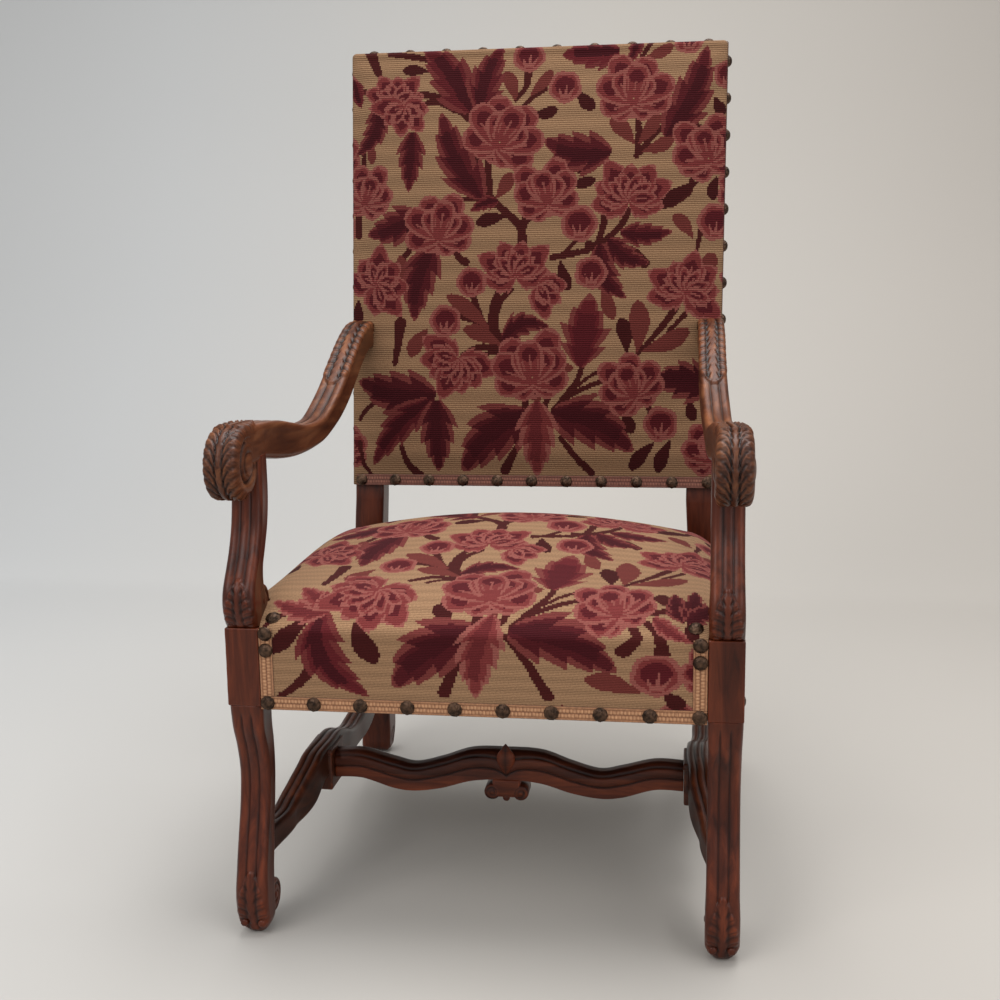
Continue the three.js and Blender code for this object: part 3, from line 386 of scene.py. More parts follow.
def blank(t, shade):
    """No height, and the same relief value all over."""
    return np.zeros(t.shape), np.full(t.shape, shade)


def hollowed(t, reach, depth):
    """The height of a shallow trough between the edges of a side."""
    return -depth * (1 - np.clip(t / reach, -1, 1) ** 2)


def reeds(t, reach, gap, depth):
    """Three reeds side by side: the height, and how open to light each place is."""
    centre = np.abs(t)
    middle = 1 - (centre / gap) ** 2
    outer = 1 - ((centre - gap - (reach - gap) / 2) / ((reach - gap) / 2)) ** 2
    swell = np.sqrt(unit(np.where(centre < gap, middle, outer)))
    return depth * (swell - 1), 0.08 + 0.85 * swell**0.8


def acanthus(u, v, half, length, pitch=14.0, arch=26.0, rise=3.6, point=34.0, rib=0.13, sharp=0.7):
    """A carved leaf from its base at v = 0 to its tip at v = length: height, relief and cover.
    Its lobes spring from the rib, run along it and turn outwards, each a ridge with a finer cut on it."""
    side = np.abs(u) / half
    s = unit(side)
    reach = arch * np.sqrt(1 - (1 - s) ** 2)
    lobe = (v - reach) / pitch
    part = lobe - np.floor(lobe)
    to_tip = unit((length - v) / point)
    body = to_tip**0.62 * (0.9 + 0.1 * smooth(0, 30, v))
    edge = body * (0.86 + 0.15 * np.sin(np.pi * part) ** 0.7)
    cover = smooth(0.05, -0.05, side - edge) * smooth(-1.5, 1.5, v) * smooth(0.0, 2.5, length - v)
    ridge = np.sin(np.pi * part) ** sharp
    fine = bell(part - 0.42, 0.07) * smooth(0.25, 0.5, s)
    stem = np.exp(-((s / rib) ** 4))
    trench = bell(s - rib * 1.7, 0.5 * rib)
    curl = 0.22 * smooth(0.55, 0.95, s / np.maximum(edge, 0.1))
    near_tip = smooth(0, 12, length - v)
    leaf = (0.16 + 0.72 * ridge - 0.3 * fine) * (1 - stem) + 0.85 * stem - 0.42 * trench * near_tip + curl
    height = rise * cover * np.clip(leaf, 0.0, 1.25)
    light = (0.02 + 0.8 * ridge - 0.4 * fine) * (1 - stem) + 0.85 * stem
    return height, unit(0.06 + light - 0.6 * trench * near_tip + 0.6 * curl), cover


def volute_side(radius, angle, outer, turns, start, depth, eye):
    """A spiral groove on the flat of a scroll, with a round eye in the middle: height and relief value."""
    wind = (start - angle) / (2 * np.pi)
    pitch = (outer - eye) / turns
    place = (outer - radius) / pitch - wind
    part = place - np.floor(place)
    groove = bell(part - 0.5, 0.17)
    inside = smooth(eye - 0.5, eye + 1.0, radius) * smooth(outer + 0.1, outer - 1.5, radius)
    button = np.sqrt(unit(1 - (radius / eye) ** 2))
    height = -depth * groove * inside + 0.6 * depth * button
    return height, 0.75 - 0.7 * groove * inside - 0.25 * (radius > eye * 0.9) * (radius < eye * 1.25)


def scroll_shell(centre, radius, width, shoulder, turns, eye, depth, start, rim=None, steps=96, rim_gap=1.6):
    """A round scroll across the chair with a volute cut in both flats."""
    half = width / 2
    inner = radius - shoulder
    flat = [(half, r) for r in np.linspace(0.6, inner, max(10, int(inner / 1.3)))]
    bends = np.linspace(0, np.pi / 2, 6)[1:]
    bend = [(half - shoulder * (1 - math.cos(b)), inner + shoulder * math.sin(b)) for b in bends]
    straight = np.linspace(shoulder - half, half - shoulder, max(6, int((width - 2 * shoulder) / rim_gap)))
    one_side = flat + bend
    profile = [(-o, r) for o, r in one_side] + [(o, radius) for o in straight[1:-1]] + one_side[::-1]

    def carve(angle, offset, r):
        side = np.where(np.abs(offset) >= half - 1e-6, np.sign(offset), 0)
        height, shade = volute_side(r, angle, radius - shoulder * 0.5, turns, start, depth, eye)
        push, tone = np.zeros(r.shape), 0.75
        if rim is not None:
            value, tone = rim(angle, offset)
            push = value * smooth(inner - 0.1, radius, r) * (side == 0)
        return push, side * height, np.where(side != 0, shade, tone)

    return disc_shell(centre, profile, carve, steps)


def flare_at(z):
    z = np.asarray(z, float)
    up = 1 + BACK_FLARE / HALF_BACK * (z - SEAT_LEVEL) / (STILE_TOP - SEAT_LEVEL)
    down = 1 + LEG_SPLAY / HALF_BACK * (1 - z / SEAT_LEVEL)
    return np.where(z >= SEAT_LEVEL, up, down)


REAR_RAKE = [(row[0], row[1]) for row in REAR_LEG_SHARES] + [(1, 0)]


def rear_front_at(z):
    z = np.asarray(z, float)
    lean = BACK_LEAN * (z - SEAT_LEVEL) / (STILE_TOP - SEAT_LEVEL)
    return STILE_FRONT + np.where(z >= SEAT_LEVEL, lean, LEG_RAKE * share_at(REAR_RAKE, z / SEAT_LEVEL))


def upright_place(centre):
    return lambda along, across, side: xyz(centre + across, side, along)


# Front legs: an S-curved shaft with reeds, a carved foot, a volute behind it and a square block
FOOT_RADIUS, FOOT_HEIGHT, FOOT_REACH = 22.0, 38.0, 26.0
FOOT_LEAF_LENGTH, FOOT_LEAF_HALF = 84.0, 19.5
LEG_ROWS = bar_rows(FRONT_LEG_SHARES, 0, BLOCK_BOTTOM, 0, BLOCK_DEPTH)
SOLE, STATION_GAP, BAR_CORNER = 20.0, 1.2, 8.0
REED_GAP, POST_TONE = 6.2, 0.72
EYE_PROFILE = ((-4, 1.0), (-3.6, 3.0), (-2.6, 4.6), (0, 5.4), (4, 5.4))


def reeded_front(t, reach, depth, fade, leaf):
    """Reeds on the front of a post, which give way to a leaf at its foot."""
    reed, tone = reeds(t, reach, REED_GAP, depth)
    carved, leaf_tone, cover = leaf
    shade = POST_TONE * (1 - fade) + tone * fade
    return reed * fade * (1 - cover) + carved, shade * (1 - cover) + leaf_tone * cover


def leg_carve(name, z, t, reach, run):
    value, shade = blank(t, POST_TONE)
    if name == "low":
        fade = smooth(60, 84, z) * smooth(BLOCK_BOTTOM - 6, BLOCK_BOTTOM - 20, z)
        leaf = acanthus(
            t, run - 2, FOOT_LEAF_HALF, FOOT_LEAF_LENGTH,
            pitch=16.0, arch=20.0, rise=2.2, point=52.0, rib=0.2)
        value, shade = reeded_front(t, reach, 3.4, fade, leaf)
    elif name in ("inner", "outer"):
        value = hollowed(t, reach, 1.6) * smooth(50, 90, z) * smooth(BLOCK_BOTTOM, BLOCK_BOTTOM - 40, z)
    return value, shade


def volute_foot(reach, height, radius, depth):
    """The scroll behind a foot, as wide as the post."""
    return scroll_shell(
        (LEG_CENTRE, reach, height), radius, LEG_WOOD - 2,
        shoulder=4.0, turns=1.5, eye=5.0, depth=depth, start=2.4)


def front_leg_parts():
    stations = outline_stations(LEG_ROWS, STATION_GAP)
    half = (LEG_WOOD / 2 - 0.4) * (1 - 0.45 * (1 - unit(stations[:, 0] / SOLE)) ** 2)
    shaft = bar_shell(stations, half, BAR_CORNER, upright_place(LEG_CENTRE), leg_carve)
    foot = volute_foot(FOOT_REACH, FOOT_HEIGHT, FOOT_RADIUS, 2.6)
    block = block_shell((LEG_INNER, 0, BLOCK_BOTTOM), (HALF_FRONT, BLOCK_DEPTH, BLOCK_TOP), 2.2)
    eyes = [disc_shell((LEG_CENTRE + x, -7.0, 15.0), EYE_PROFILE, steps=20, axis="y") for x in (-11.5, 11.5)]
    return [shaft, foot, block] + eyes


# Arm supports: a reeded shaft on a scrolled base with a leaf
SUPPORT_RADIUS, SUPPORT_HEIGHT, SUPPORT_REACH = 22.0, 26.0, 33.0
ARM_RADIUS, ARM_HEIGHT, ARM_REACH, ARM_ROLL_WIDTH = 45.0, 601.0, 8.0, 46.0
ARM_LOW = ARM_HEIGHT - 16.0
ARM_RISE, ARM_WIDTH = 159.0, 42.0
ARM_REAR_CENTRE = HALF_BACK - 12.0
ARM_TOE = LEG_CENTRE + 5.0 - ARM_REAR_CENTRE
SUPPORT_FOOT = BLOCK_TOP + CLEARANCE
SUPPORT_RISE = ARM_LOW + 29.0 - BLOCK_TOP
SUPPORT_LEAF_HALF, SUPPORT_LEAF_LENGTH = 19.0, 62.0
SUPPORT_ROWS = bar_rows(SUPPORT_SHARES, SUPPORT_FOOT, SUPPORT_RISE, 0, BLOCK_DEPTH)


def support_carve(name, z, t, reach, run):
    value, shade = blank(t, POST_TONE)
    up = z - SUPPORT_FOOT
    if name == "low":
        leaf = acanthus(
            t, run - 1, SUPPORT_LEAF_HALF, SUPPORT_LEAF_LENGTH,
            pitch=12.0, arch=16.0, rise=3.0, point=44.0, rib=0.16)
        value, shade = reeded_front(t, reach, 3.2, smooth(38, 58, up), leaf)
    elif name in ("inner", "outer"):
        value = hollowed(t, reach, 1.4) * smooth(20, 60, up)
    return value, shade


def support_parts():
    stations = outline_stations(SUPPORT_ROWS, STATION_GAP)
    top = share_at(ARM_SHARES_LOW, (stations[:, 2] - ARM_REACH) / ARM_LENGTH) * ARM_RISE + ARM_LOW
    stations = stations[stations[:, 0] < top + 8]
    shaft = bar_shell(stations, LEG_WOOD / 2 - 0.5, BAR_CORNER, upright_place(LEG_CENTRE), support_carve)
    return [shaft, volute_foot(SUPPORT_REACH, BLOCK_TOP + SUPPORT_HEIGHT, SUPPORT_RADIUS, 2.4)]


# Arms: a reeded rail with a leaf at each end, and a scroll in front
ARM_LENGTH = float(rear_front_at(ARM_LOW + ARM_RISE)) + STILE_DEPTH / 2 - ARM_REACH
ARM_SHARES_LOW = [(row[0], row[1]) for row in ARM_SHARES]
ARM_ROWS = bar_rows(ARM_SHARES, ARM_REACH, ARM_LENGTH, ARM_LOW, ARM_RISE)
ARM_TONE = 0.74
ROLL_LEAF_LENGTH = 205.0
ROLL_LEAF_START = math.radians(-96)
REAR_LEAF_LENGTH, ARM_LEAF_HALF = 222.0, 21.5


def roll_leaf(arc, t):
    return acanthus(t, arc, ARM_LEAF_HALF, ROLL_LEAF_LENGTH, arch=52.0, rise=4.6, point=40.0, sharp=0.75)


def arm_carve(name, y, t, reach, run):
    value, shade = blank(t, ARM_TONE)
    ahead, behind = y - ARM_REACH, run[-1:] - run
    if name == "high":
        rolled = ARM_RADIUS * (math.pi / 2 - ROLL_LEAF_START)
        front, front_tone, front_cover = roll_leaf(rolled + ahead, t)
        rear, rear_tone, rear_cover = acanthus(
            t, behind - 8, ARM_LEAF_HALF, REAR_LEAF_LENGTH,
            pitch=18.5, arch=22.0, rise=4.0, point=36.0, rib=0.22)
        reed, tone = reeds(t, reach, 6.4, 2.6)
        bare = (1 - front_cover) * (1 - rear_cover)
        value = reed * bare + front + rear
        shade = tone * bare + 0.8 * front_tone * front_cover + rear_tone * rear_cover
    elif name in ("inner", "outer"):
        value = hollowed(t, reach, 2.2) * smooth(20, 70, ahead) * smooth(0, 60, behind)
    return value, shade


def arm_centre(y):
    """How far from the middle of the chair an arm runs."""
    return ARM_REAR_CENTRE + ARM_TOE * share_at(ARM_TOE_SHARES, (y - ARM_REACH) / ARM_LENGTH)


def arm_place(along, across, side):
    limit = rear_front_at(side) - CLEARANCE
    return xyz(arm_centre(along) + across, np.minimum(along, limit), side)


def roll_rim(angle, offset):
    # angle 0 looks forward and turns up; the leaf starts below the front and runs back over the top
    turned = (angle + math.pi) % (2 * math.pi) - math.pi
    arc = ARM_RADIUS * (turned - ROLL_LEAF_START)
    value, tone, cover = roll_leaf(arc, offset)
    flatter = 3.0 * bell(turned + math.pi / 2, 0.8)
    return value - flatter, 0.8 * tone * cover + 0.6 * (1 - cover)


def arm_parts():
    stations = outline_stations(ARM_ROWS, STATION_GAP)
    limit = rear_front_at(stations[:, 2]) - CLEARANCE
    stations = stations[stations[:, 0] < limit + 14]
    rail = bar_shell(stations, ARM_WIDTH / 2 - 0.3, BAR_CORNER, arm_place, arm_carve, counts=(18, 16, 34))
    centre = (ARM_REAR_CENTRE + ARM_TOE, ARM_REACH, ARM_HEIGHT)
    roll = scroll_shell(
        centre, ARM_RADIUS - 3.0, ARM_ROLL_WIDTH - 1.5,
        shoulder=11.0, turns=1.3, eye=14.0, depth=4.0, start=1.2, rim=roll_rim, steps=260, rim_gap=1.1)
    return [rail, roll]


# Rear legs and stiles
STILE_STEPS = 60


def rear_leg_carve(name, z, t, reach, run):
    value, shade = blank(t, 0.7)
    if name in ("inner", "outer"):
        radius = np.hypot((z - 26) / 1.25, t)
        ring = bell(radius - 9, 1.8)
        value, shade = value - 1.6 * ring, shade - 0.5 * ring
    return value, shade


def stile_place(along, across, side):
    return xyz((HALF_BACK - STILE_WIDTH / 2 + across) * flare_at(along), side, along)


def rear_leg_parts():
    rows = []
    for height, rake, depth in REAR_LEG_SHARES:
        front = STILE_FRONT + rake * LEG_RAKE
        rows.append((height * SEAT_LEVEL, front, front + depth * STILE_DEPTH))
    rows.append((SEAT_LEVEL, STILE_FRONT, STILE_FRONT + STILE_DEPTH))
    stations = outline_stations(rows, 3.0)
    stations[0, 0] = 0.0
    run = math.hypot(STILE_TOP - SEAT_LEVEL, BACK_LEAN)
    part = np.arange(1, STILE_STEPS + 1) / STILE_STEPS
    front = STILE_FRONT + BACK_LEAN * part
    z = SEAT_LEVEL + (STILE_TOP - SEAT_LEVEL) * part
    upper = np.stack([z, front, front + STILE_DEPTH, stations[-1, 3] + run * part], axis=1)
    stations = np.vstack([stations, upper])
    half = STILE_WIDTH / 2 - 4.0 * smooth(7, 0, stations[:, 0])
    return [bar_shell(stations, half, 5.0, stile_place, rear_leg_carve, counts=(12, 14, 12))]


# Side stretchers with their joint blocks
STRETCHER_WIDTH, STRETCHER_LOW, STRETCHER_RISE = 32.0, 88.0, 84.0
STRETCHER_BOW, STRETCHER_START = 27.0, 22.0
STRETCHER_LENGTH = STILE_FRONT + LEG_RAKE - STRETCHER_START
STRETCHER_REAR_X = (HALF_BACK - STILE_WIDTH / 2) * float(flare_at(STRETCHER_LOW + 30.0))
STRETCHER_ROWS = bar_rows(
    SIDE_STRETCHER_SHARES, STRETCHER_START, STRETCHER_LENGTH, STRETCHER_LOW, STRETCHER_RISE)
STRETCHER_TONE = 0.6
JUNCTION_WIDTH, JUNCTION_DEPTH, JUNCTION_CENTRE = 37.0, 62.0, 236.0
JUNCTION_LOW, JUNCTION_HIGH, JUNCTION_CAP = 107.0, 167.0, 9.0


def side_stretcher_x(y):
    along = (np.asarray(y, float) - STRETCHER_START) / STRETCHER_LENGTH
    straight = LEG_CENTRE + (STRETCHER_REAR_X - LEG_CENTRE) * along
    return straight - STRETCHER_BOW * share_at(SIDE_STRETCHER_BOW_SHARES, along)


JUNCTION_X = float(side_stretcher_x(JUNCTION_CENTRE))


def stretcher_carve(name, y, t, reach, run):
    value, shade = blank(t, STRETCHER_TONE)
    if name == "high":
        fade = smooth(54, 74, y)
        value, tone = reeds(t, reach, 5.0, 2.4)
        value, shade = value * fade, shade * (1 - fade) + tone * fade
    elif name in ("inner", "outer"):
        value = hollowed(t, reach, 1.2)
    return value, shade


def stretcher_place(along, across, side):
    leg_rear = section_at(LEG_ROWS, side)[1]
    y = np.clip(along, leg_rear + CLEARANCE, rear_front_at(side) - CLEARANCE)
    return xyz(side_stretcher_x(y) + across, y, side)


def junction_block(wider, deeper, low, high, radius):
    """A block about the middle of the joint, larger on each side by the first two lengths."""
    half_wide, half_deep = JUNCTION_WIDTH / 2 + wider, JUNCTION_DEPTH / 2 + deeper
    return block_shell(
        (JUNCTION_X - half_wide, JUNCTION_CENTRE - half_deep, low),
        (JUNCTION_X + half_wide, JUNCTION_CENTRE + half_deep, high), radius)


def side_stretcher_parts():
    stations = outline_stations(STRETCHER_ROWS, 2.2)
    rail = bar_shell(stations, STRETCHER_WIDTH / 2, 6.0, stretcher_place, stretcher_carve, (12, 12, 26))
    block = junction_block(0, 0, JUNCTION_LOW, JUNCTION_HIGH - JUNCTION_CAP / 2, 3.0)
    top = junction_block(0.8, 1.5, JUNCTION_HIGH - JUNCTION_CAP, JUNCTION_HIGH, 2.2)
    return [rail, block, top]


# Cross stretcher: a moulded serpentine bar with a finial and two drop scrolls
CROSS_DEPTH, CROSS_LOW, CROSS_RISE = 34.0, 103.0, 67.0
CROSS_HALF = JUNCTION_X - JUNCTION_WIDTH / 2 - CLEARANCE
DROP_OFFSET, DROP_HEIGHT, DROP_WEB = 20.0, 109.0, 16.8
DROP_FLAT = [(-17.5, r) for r in (1, 3, 5, 7, 9)] + [(-16.5, 10.6), (-14.5, 11.2)]
DROP_PROFILE = DROP_FLAT + [(-offset, r) for offset, r in DROP_FLAT[::-1]]
BUD_ROWS = (
    (-23.0, 0.6), (-16.0, 6.2), (-7.0, 11.4), (2.0, 13.2), (8.0, 11.4), (13.0, 7.4), (17.0, 4.8),
    (22.0, 0.8),
)


def cross_carve(name, x, t, reach, run):
    value, shade = blank(t, STRETCHER_TONE)
    if name == "low":
        return value - 2.5, shade
    if name == "high":
        return value - 1.5, shade - 0.25 * bell(np.abs(t) - 9, 2.0)
    # t runs up the face. The mouldings dip to a point at the middle
    dip = 13.0 * np.exp(-np.abs(x) / 13.0)
    down = reach - t - dip
    size = 2 * reach
    bead_top, bead_end = 0.16 * size, 0.55 * size
    bead = np.sqrt(unit(1 - ((down - (bead_top + bead_end) / 2) / ((bead_end - bead_top) / 2)) ** 2))
    upper_quirk = bell(down - bead_top, 1.3)
    lower_quirk = bell(down - bead_end - 0.4, 1.3)
    value = np.where(down < bead_top, -0.5, np.where(down < bead_end, -2.6 + 2.8 * bead, -2.0))
    value = value - 1.6 * upper_quirk - 1.5 * lower_quirk
    shade = np.where(down < bead_end, 0.34 + 0.36 * bead, 0.95) - 0.45 * upper_quirk - 0.5 * lower_quirk
    return value, np.clip(shade, 0.05, 1)


def cross_place(along, across, side):
    return xyz(along, JUNCTION_CENTRE + across, side)


def drop_volute(angle, offset, r, side):
    face = np.where(np.abs(offset) >= 14.9, np.sign(offset), 0)
    height, shade = volute_side(r, angle * side, outer=12.0, turns=1.4, start=0.6, depth=1.6, eye=3.0)
    return np.zeros(r.shape), face * height, np.where(face != 0, shade, 0.7)


def turned_drop(centre, rows, steps=32):
    """A pointed acorn that hangs: rows are (height, radius), flattened front to back."""
    rows = spline(np.asarray(rows, float), 6)
    angle = np.linspace(0, 2 * np.pi, steps, endpoint=False)[None, :]
    height, radius = rows[:, :1], np.maximum(rows[:, 1:2], 0.3)
    lobe = np.abs(np.cos(angle * 1.5 + math.pi / 4)) ** 0.6
    reach = radius * (0.86 + 0.14 * lobe)
    y = centre[1] + 0.6 * reach * np.sin(angle)
    points = xyz(centre[0] + reach * np.cos(angle), y, centre[2] + height + 0 * angle)
    return tube(points, 0.3 + 0.6 * lobe + 0 * radius)


def cross_parts():
    half = bar_rows(CROSS_SHARES, 0, CROSS_HALF, CROSS_LOW, CROSS_RISE)
    rows = [(-x, low, high) for x, low, high in half[:0:-1]] + half
    rail = bar_shell(
        outline_stations(rows, 1.8), CROSS_DEPTH / 2, (2.5, 13.0), cross_place, cross_carve, (12, 40, 12), 12)
    drops = []
    for side in (-1, 1):
        def rim(angle, offset, r, side=side):
            return drop_volute(angle, offset, r, side)

        drops.append(disc_shell(
            (side * DROP_OFFSET, JUNCTION_CENTRE, DROP_HEIGHT), DROP_PROFILE, rim, steps=56, axis="y"))
    front, rear = JUNCTION_CENTRE - DROP_WEB, JUNCTION_CENTRE + DROP_WEB
    web = block_shell((-DROP_OFFSET, front, 101.0), (DROP_OFFSET, rear, 128.0), 4.0)
    knob = disc_shell((0.0, JUNCTION_CENTRE, 101.5), ((-17, 2), (-16, 5), (16, 5), (17, 2)), None, 24, "y")
    bud = turned_drop((0.0, JUNCTION_CENTRE - CROSS_DEPTH / 2 + 1.5, 158.0), BUD_ROWS)
    return [rail, bud, web, knob] + drops


# Upholstery
SEAT_SIDE_FRONT, SEAT_SIDE_REAR = HALF_FRONT - 2.5, HALF_BACK + 6.0
SEAT_COVER_BOTTOM = 297.0
SEAT_FRONT_EDGE, SEAT_REAR_EDGE, SEAT_SIDE_SWELL, SEAT_MIDDLE_SWELL = 435.0, 395.0, 26.0, 66.0
SEAT_SIDE_ROUND, SEAT_FRONT_ROUND, SEAT_FRONT_FALL = 54.0, 97.0, 66.0
SEAT_BULGE, RAIL_COVER = 2.5, 395.0
RAIL_BOTTOM, RAIL_HALF_HEIGHT, REAR_RAIL_INSET = 306.0, 43.0, 13.0
SIDE_RUN = STILE_FRONT - BLOCK_DEPTH
REAR_RAIL_FRONT = float(rear_front_at(RAIL_BOTTOM + RAIL_HALF_HEIGHT)) + REAR_RAIL_INSET
SEAT_BACK = REAR_RAIL_FRONT + 24.0 + CLEARANCE + COVER
BACK_TOP = STILE_TOP + CLEARANCE + COVER
BACK_HALF = HALF_BACK + CLEARANCE + COVER
BACK_PAD, BACK_CROWN, BACK_MARGIN, BACK_WRAP, BACK_CORNER = 9.0, 13.0, 27.0, 34.0, 7.0


def seat_half(y):
    behind = np.asarray(y, float) - BLOCK_DEPTH
    return SEAT_SIDE_FRONT + (SEAT_SIDE_REAR - SEAT_SIDE_FRONT) * behind / SIDE_RUN


def seat_height(x, y):
    u = np.clip(x / seat_half(y), -1, 1)
    v = unit((y - SEAT_FRONT) / (SEAT_BACK - SEAT_FRONT))
    edge = SEAT_FRONT_EDGE + (SEAT_REAR_EDGE - SEAT_FRONT_EDGE) * v
    # the crown is highest a little behind the middle
    swell = np.sin(np.pi * v**1.44) ** 1.3
    return edge + swell * (SEAT_SIDE_SWELL + (SEAT_MIDDLE_SWELL - SEAT_SIDE_SWELL) * (1 - u * u))


def rounded_drop(over, radius):
    """(sideways, down) for cloth that runs over an edge of that radius by a length."""
    angle = np.clip(over / radius, 0, math.pi / 2)
    extra = np.maximum(over - radius * math.pi / 2, 0)
    return radius * np.sin(angle), radius * (1 - np.cos(angle)) + extra


def cloth_grid(columns, rows, shape, keep, pattern):
    """A sheet of quads over cloth coordinates. Each quad is one stitch with its own colour."""
    a, b = np.meshgrid(columns, rows)
    points = shape(a, b)
    across, along, centre = ((grid[:-1, :-1] + grid[1:, 1:]) / 2 for grid in (a, b, points))
    wanted = keep(across, along, centre)
    quads = grid_quads(*a.shape)[wanted]
    colour = pattern(across[wanted], along[wanted])
    corner = np.repeat(np.column_stack([colour, np.ones(len(colour))]), 4, axis=0)
    uv = np.stack([a.ravel(), b.ravel()], axis=1)[quads.ravel()] / 1000
    return used_points(points, quads), corner, uv


def seat_shape(a, b):
    """a runs across and down the sides, b from the front edge's bottom over the top to the back."""
    front = SEAT_FRONT + SEAT_FRONT_ROUND
    y_flat = np.clip(front + b, front, SEAT_BACK - 3)
    half = seat_half(y_flat) + SEAT_BULGE - SEAT_SIDE_ROUND
    x_flat = np.clip(a, -half, half)
    over_x = (np.abs(a) - np.abs(x_flat)) / SEAT_SIDE_ROUND
    over_y = np.maximum(-b, 0) / (SEAT_FRONT_ROUND + SEAT_FRONT_FALL) * 2
    over_back = np.maximum(front + b - (SEAT_BACK - 3), 0)
    over = np.maximum(np.hypot(over_x, over_y), 1e-9)
    radius = np.hypot(SEAT_SIDE_ROUND * over_x, SEAT_FRONT_FALL * over_y) / over
    turn = np.minimum(over, math.pi / 2)
    down = radius * (1 - np.cos(turn)) + radius * np.maximum(over - math.pi / 2, 0)
    back_side, back_down = rounded_drop(over_back, 3.0)
    x = x_flat + np.sign(a) * SEAT_SIDE_ROUND * np.sin(turn) * over_x / over
    y = y_flat - SEAT_FRONT_ROUND * np.sin(turn) * over_y / over + back_side
    z = seat_height(x, y) - down - back_down
    # it is drawn tight over the edge of the sacking on the front rail
    pull = 8.5 * bell(z - RAIL_COVER - 3, 15)
    y = y - np.minimum(pull, np.maximum(y - SEAT_FRONT - 0.4, 0)) * (b < 0)
    # behind the posts it runs straight on down the outer face of the side rails
    beside = smooth(0.6, 1.4, over_x) * (b < 0)
    y_side = np.maximum(front + b, BLOCK_DEPTH - 6)
    turn = np.minimum(over_x, math.pi / 2)
    x_side = np.sign(a) * (seat_half(y_side) + SEAT_BULGE - SEAT_SIDE_ROUND * (1 - np.sin(turn)))
    side_down = 1 - np.cos(turn) + np.maximum(over_x - math.pi / 2, 0)
    z_side = seat_height(x_side, y_side) - SEAT_SIDE_ROUND * side_down
    x, y, z = x + (x_side - x) * beside, y + (y_side - y) * beside, z + (z_side - z) * beside
    # the cloth lies on the top edge of the side rails
    on_rail = (np.abs(x) < seat_half(y) - 1.6) & (y > BLOCK_DEPTH)
    z = np.where(on_rail & (over_back <= 0), np.maximum(z, RAIL_COVER), z)
    return xyz(x, y, z)


def inside_support(points, grow):
    x, y, z = np.abs(points[..., 0]), points[..., 1], points[..., 2]
    low, high = section_at(SUPPORT_ROWS, z)
    shaft = (y > low - grow) & (y < high + grow) & (z > BLOCK_TOP)
    base = np.hypot(y - SUPPORT_REACH, z - BLOCK_TOP - SUPPORT_HEIGHT) < SUPPORT_RADIUS + grow
    block = (y < BLOCK_DEPTH + grow) & (z <= BLOCK_TOP + grow)
    return (x > LEG_INNER - grow) & (shaft | base | block)


def seat_keep(a, b, centre):
    x, y, z = centre[..., 0], centre[..., 1], centre[..., 2]
    # nothing of the sheet runs down behind the posts
    in_stile = (np.abs(x) > STILE_INNER * flare_at(z) - 1) & (y > rear_front_at(z) - 0.5)
    return (z > SEAT_COVER_BOTTOM) & ~inside_support(centre, -0.8) & ~in_stile


def back_shape(a, b):
    """a runs across and round the sides, b from the bottom edge up and over the top."""
    r = BACK_CORNER
    half = BACK_HALF - r
    top = BACK_TOP - r - BACK_BOTTOM
    x_flat = np.clip(a, -half, half)
    z_flat = np.clip(b, 0, top)
    over_x = np.abs(a) - np.abs(x_flat)
    over_z = np.maximum(b - top, 0)
    over = np.hypot(over_x, over_z)
    side, depth = rounded_drop(over, r)
    safe = np.maximum(over, 1e-9)
    x = x_flat + np.sign(a) * side * over_x / safe
    z = BACK_BOTTOM + z_flat + side * over_z / safe
    u = unit(1 - np.abs(x) / (BACK_HALF - BACK_MARGIN))
    middle = (BACK_BOTTOM + BACK_TOP) / 2
    v = unit(1 - np.abs(z - middle) / (BACK_TOP - middle - BACK_MARGIN))
    crown = BACK_CROWN * (1 - (1 - u) ** 3) * (1 - (1 - v) ** 3)
    y = -(BACK_PAD + crown) + depth
    return leaned(xyz(x, y, z))


def leaned(points):
    x, y, z = points[..., 0], points[..., 1], points[..., 2]
    lean = STILE_FRONT + BACK_LEAN * (z - SEAT_LEVEL) / (STILE_TOP - SEAT_LEVEL)
    return xyz(x * flare_at(z), y + lean, z)


def back_keep(a, b, centre):
    x, y, z = np.abs(centre[..., 0]), centre[..., 1], centre[..., 2]
    low, high = section_at(ARM_ROWS, y)
    in_arm = (np.abs(x - arm_centre(y)) < ARM_WIDTH / 2 - 1.5) & (z > low + 1.5) & (z < high - 1.5)
    past_side = np.maximum(np.abs(a) - BACK_HALF + BACK_CORNER, 0)
    past_top = np.maximum(b - (BACK_TOP - BACK_CORNER - BACK_BOTTOM), 0)
    wrapped = BACK_CORNER * (math.pi / 2 - 1) + BACK_WRAP + BACK_PAD
    return ~in_arm & (np.hypot(past_side, past_top) < wrapped)


# Materials
def linear(red, green, blue):
    """A colour given as 0 to 255 on a screen, as the linear values that a shader takes."""
    out = []
    for value in (red, green, blue):
        value /= 255
        out.append(value / 12.92 if value <= 0.04045 else ((value + 0.055) / 1.055) ** 2.4)
    return tuple(out)


def material(name, **values):
    """A new material, its nodes and its shader. values go to the shader's own sockets."""
    made = bpy.data.materials.new(name)
    made.use_nodes = True
    shader = made.node_tree.nodes["Principled BSDF"]
    for key, value in values.items():
        shader.inputs[key.replace("_", " ")].default_value = value
    return made, made.node_tree, shader


def node(tree, kind, **inputs):
    made = tree.nodes.new(kind)
    for key, value in inputs.items():
        if key in made.inputs:
            made.inputs[key].default_value = value
        else:
            setattr(made, key, value)
    return made


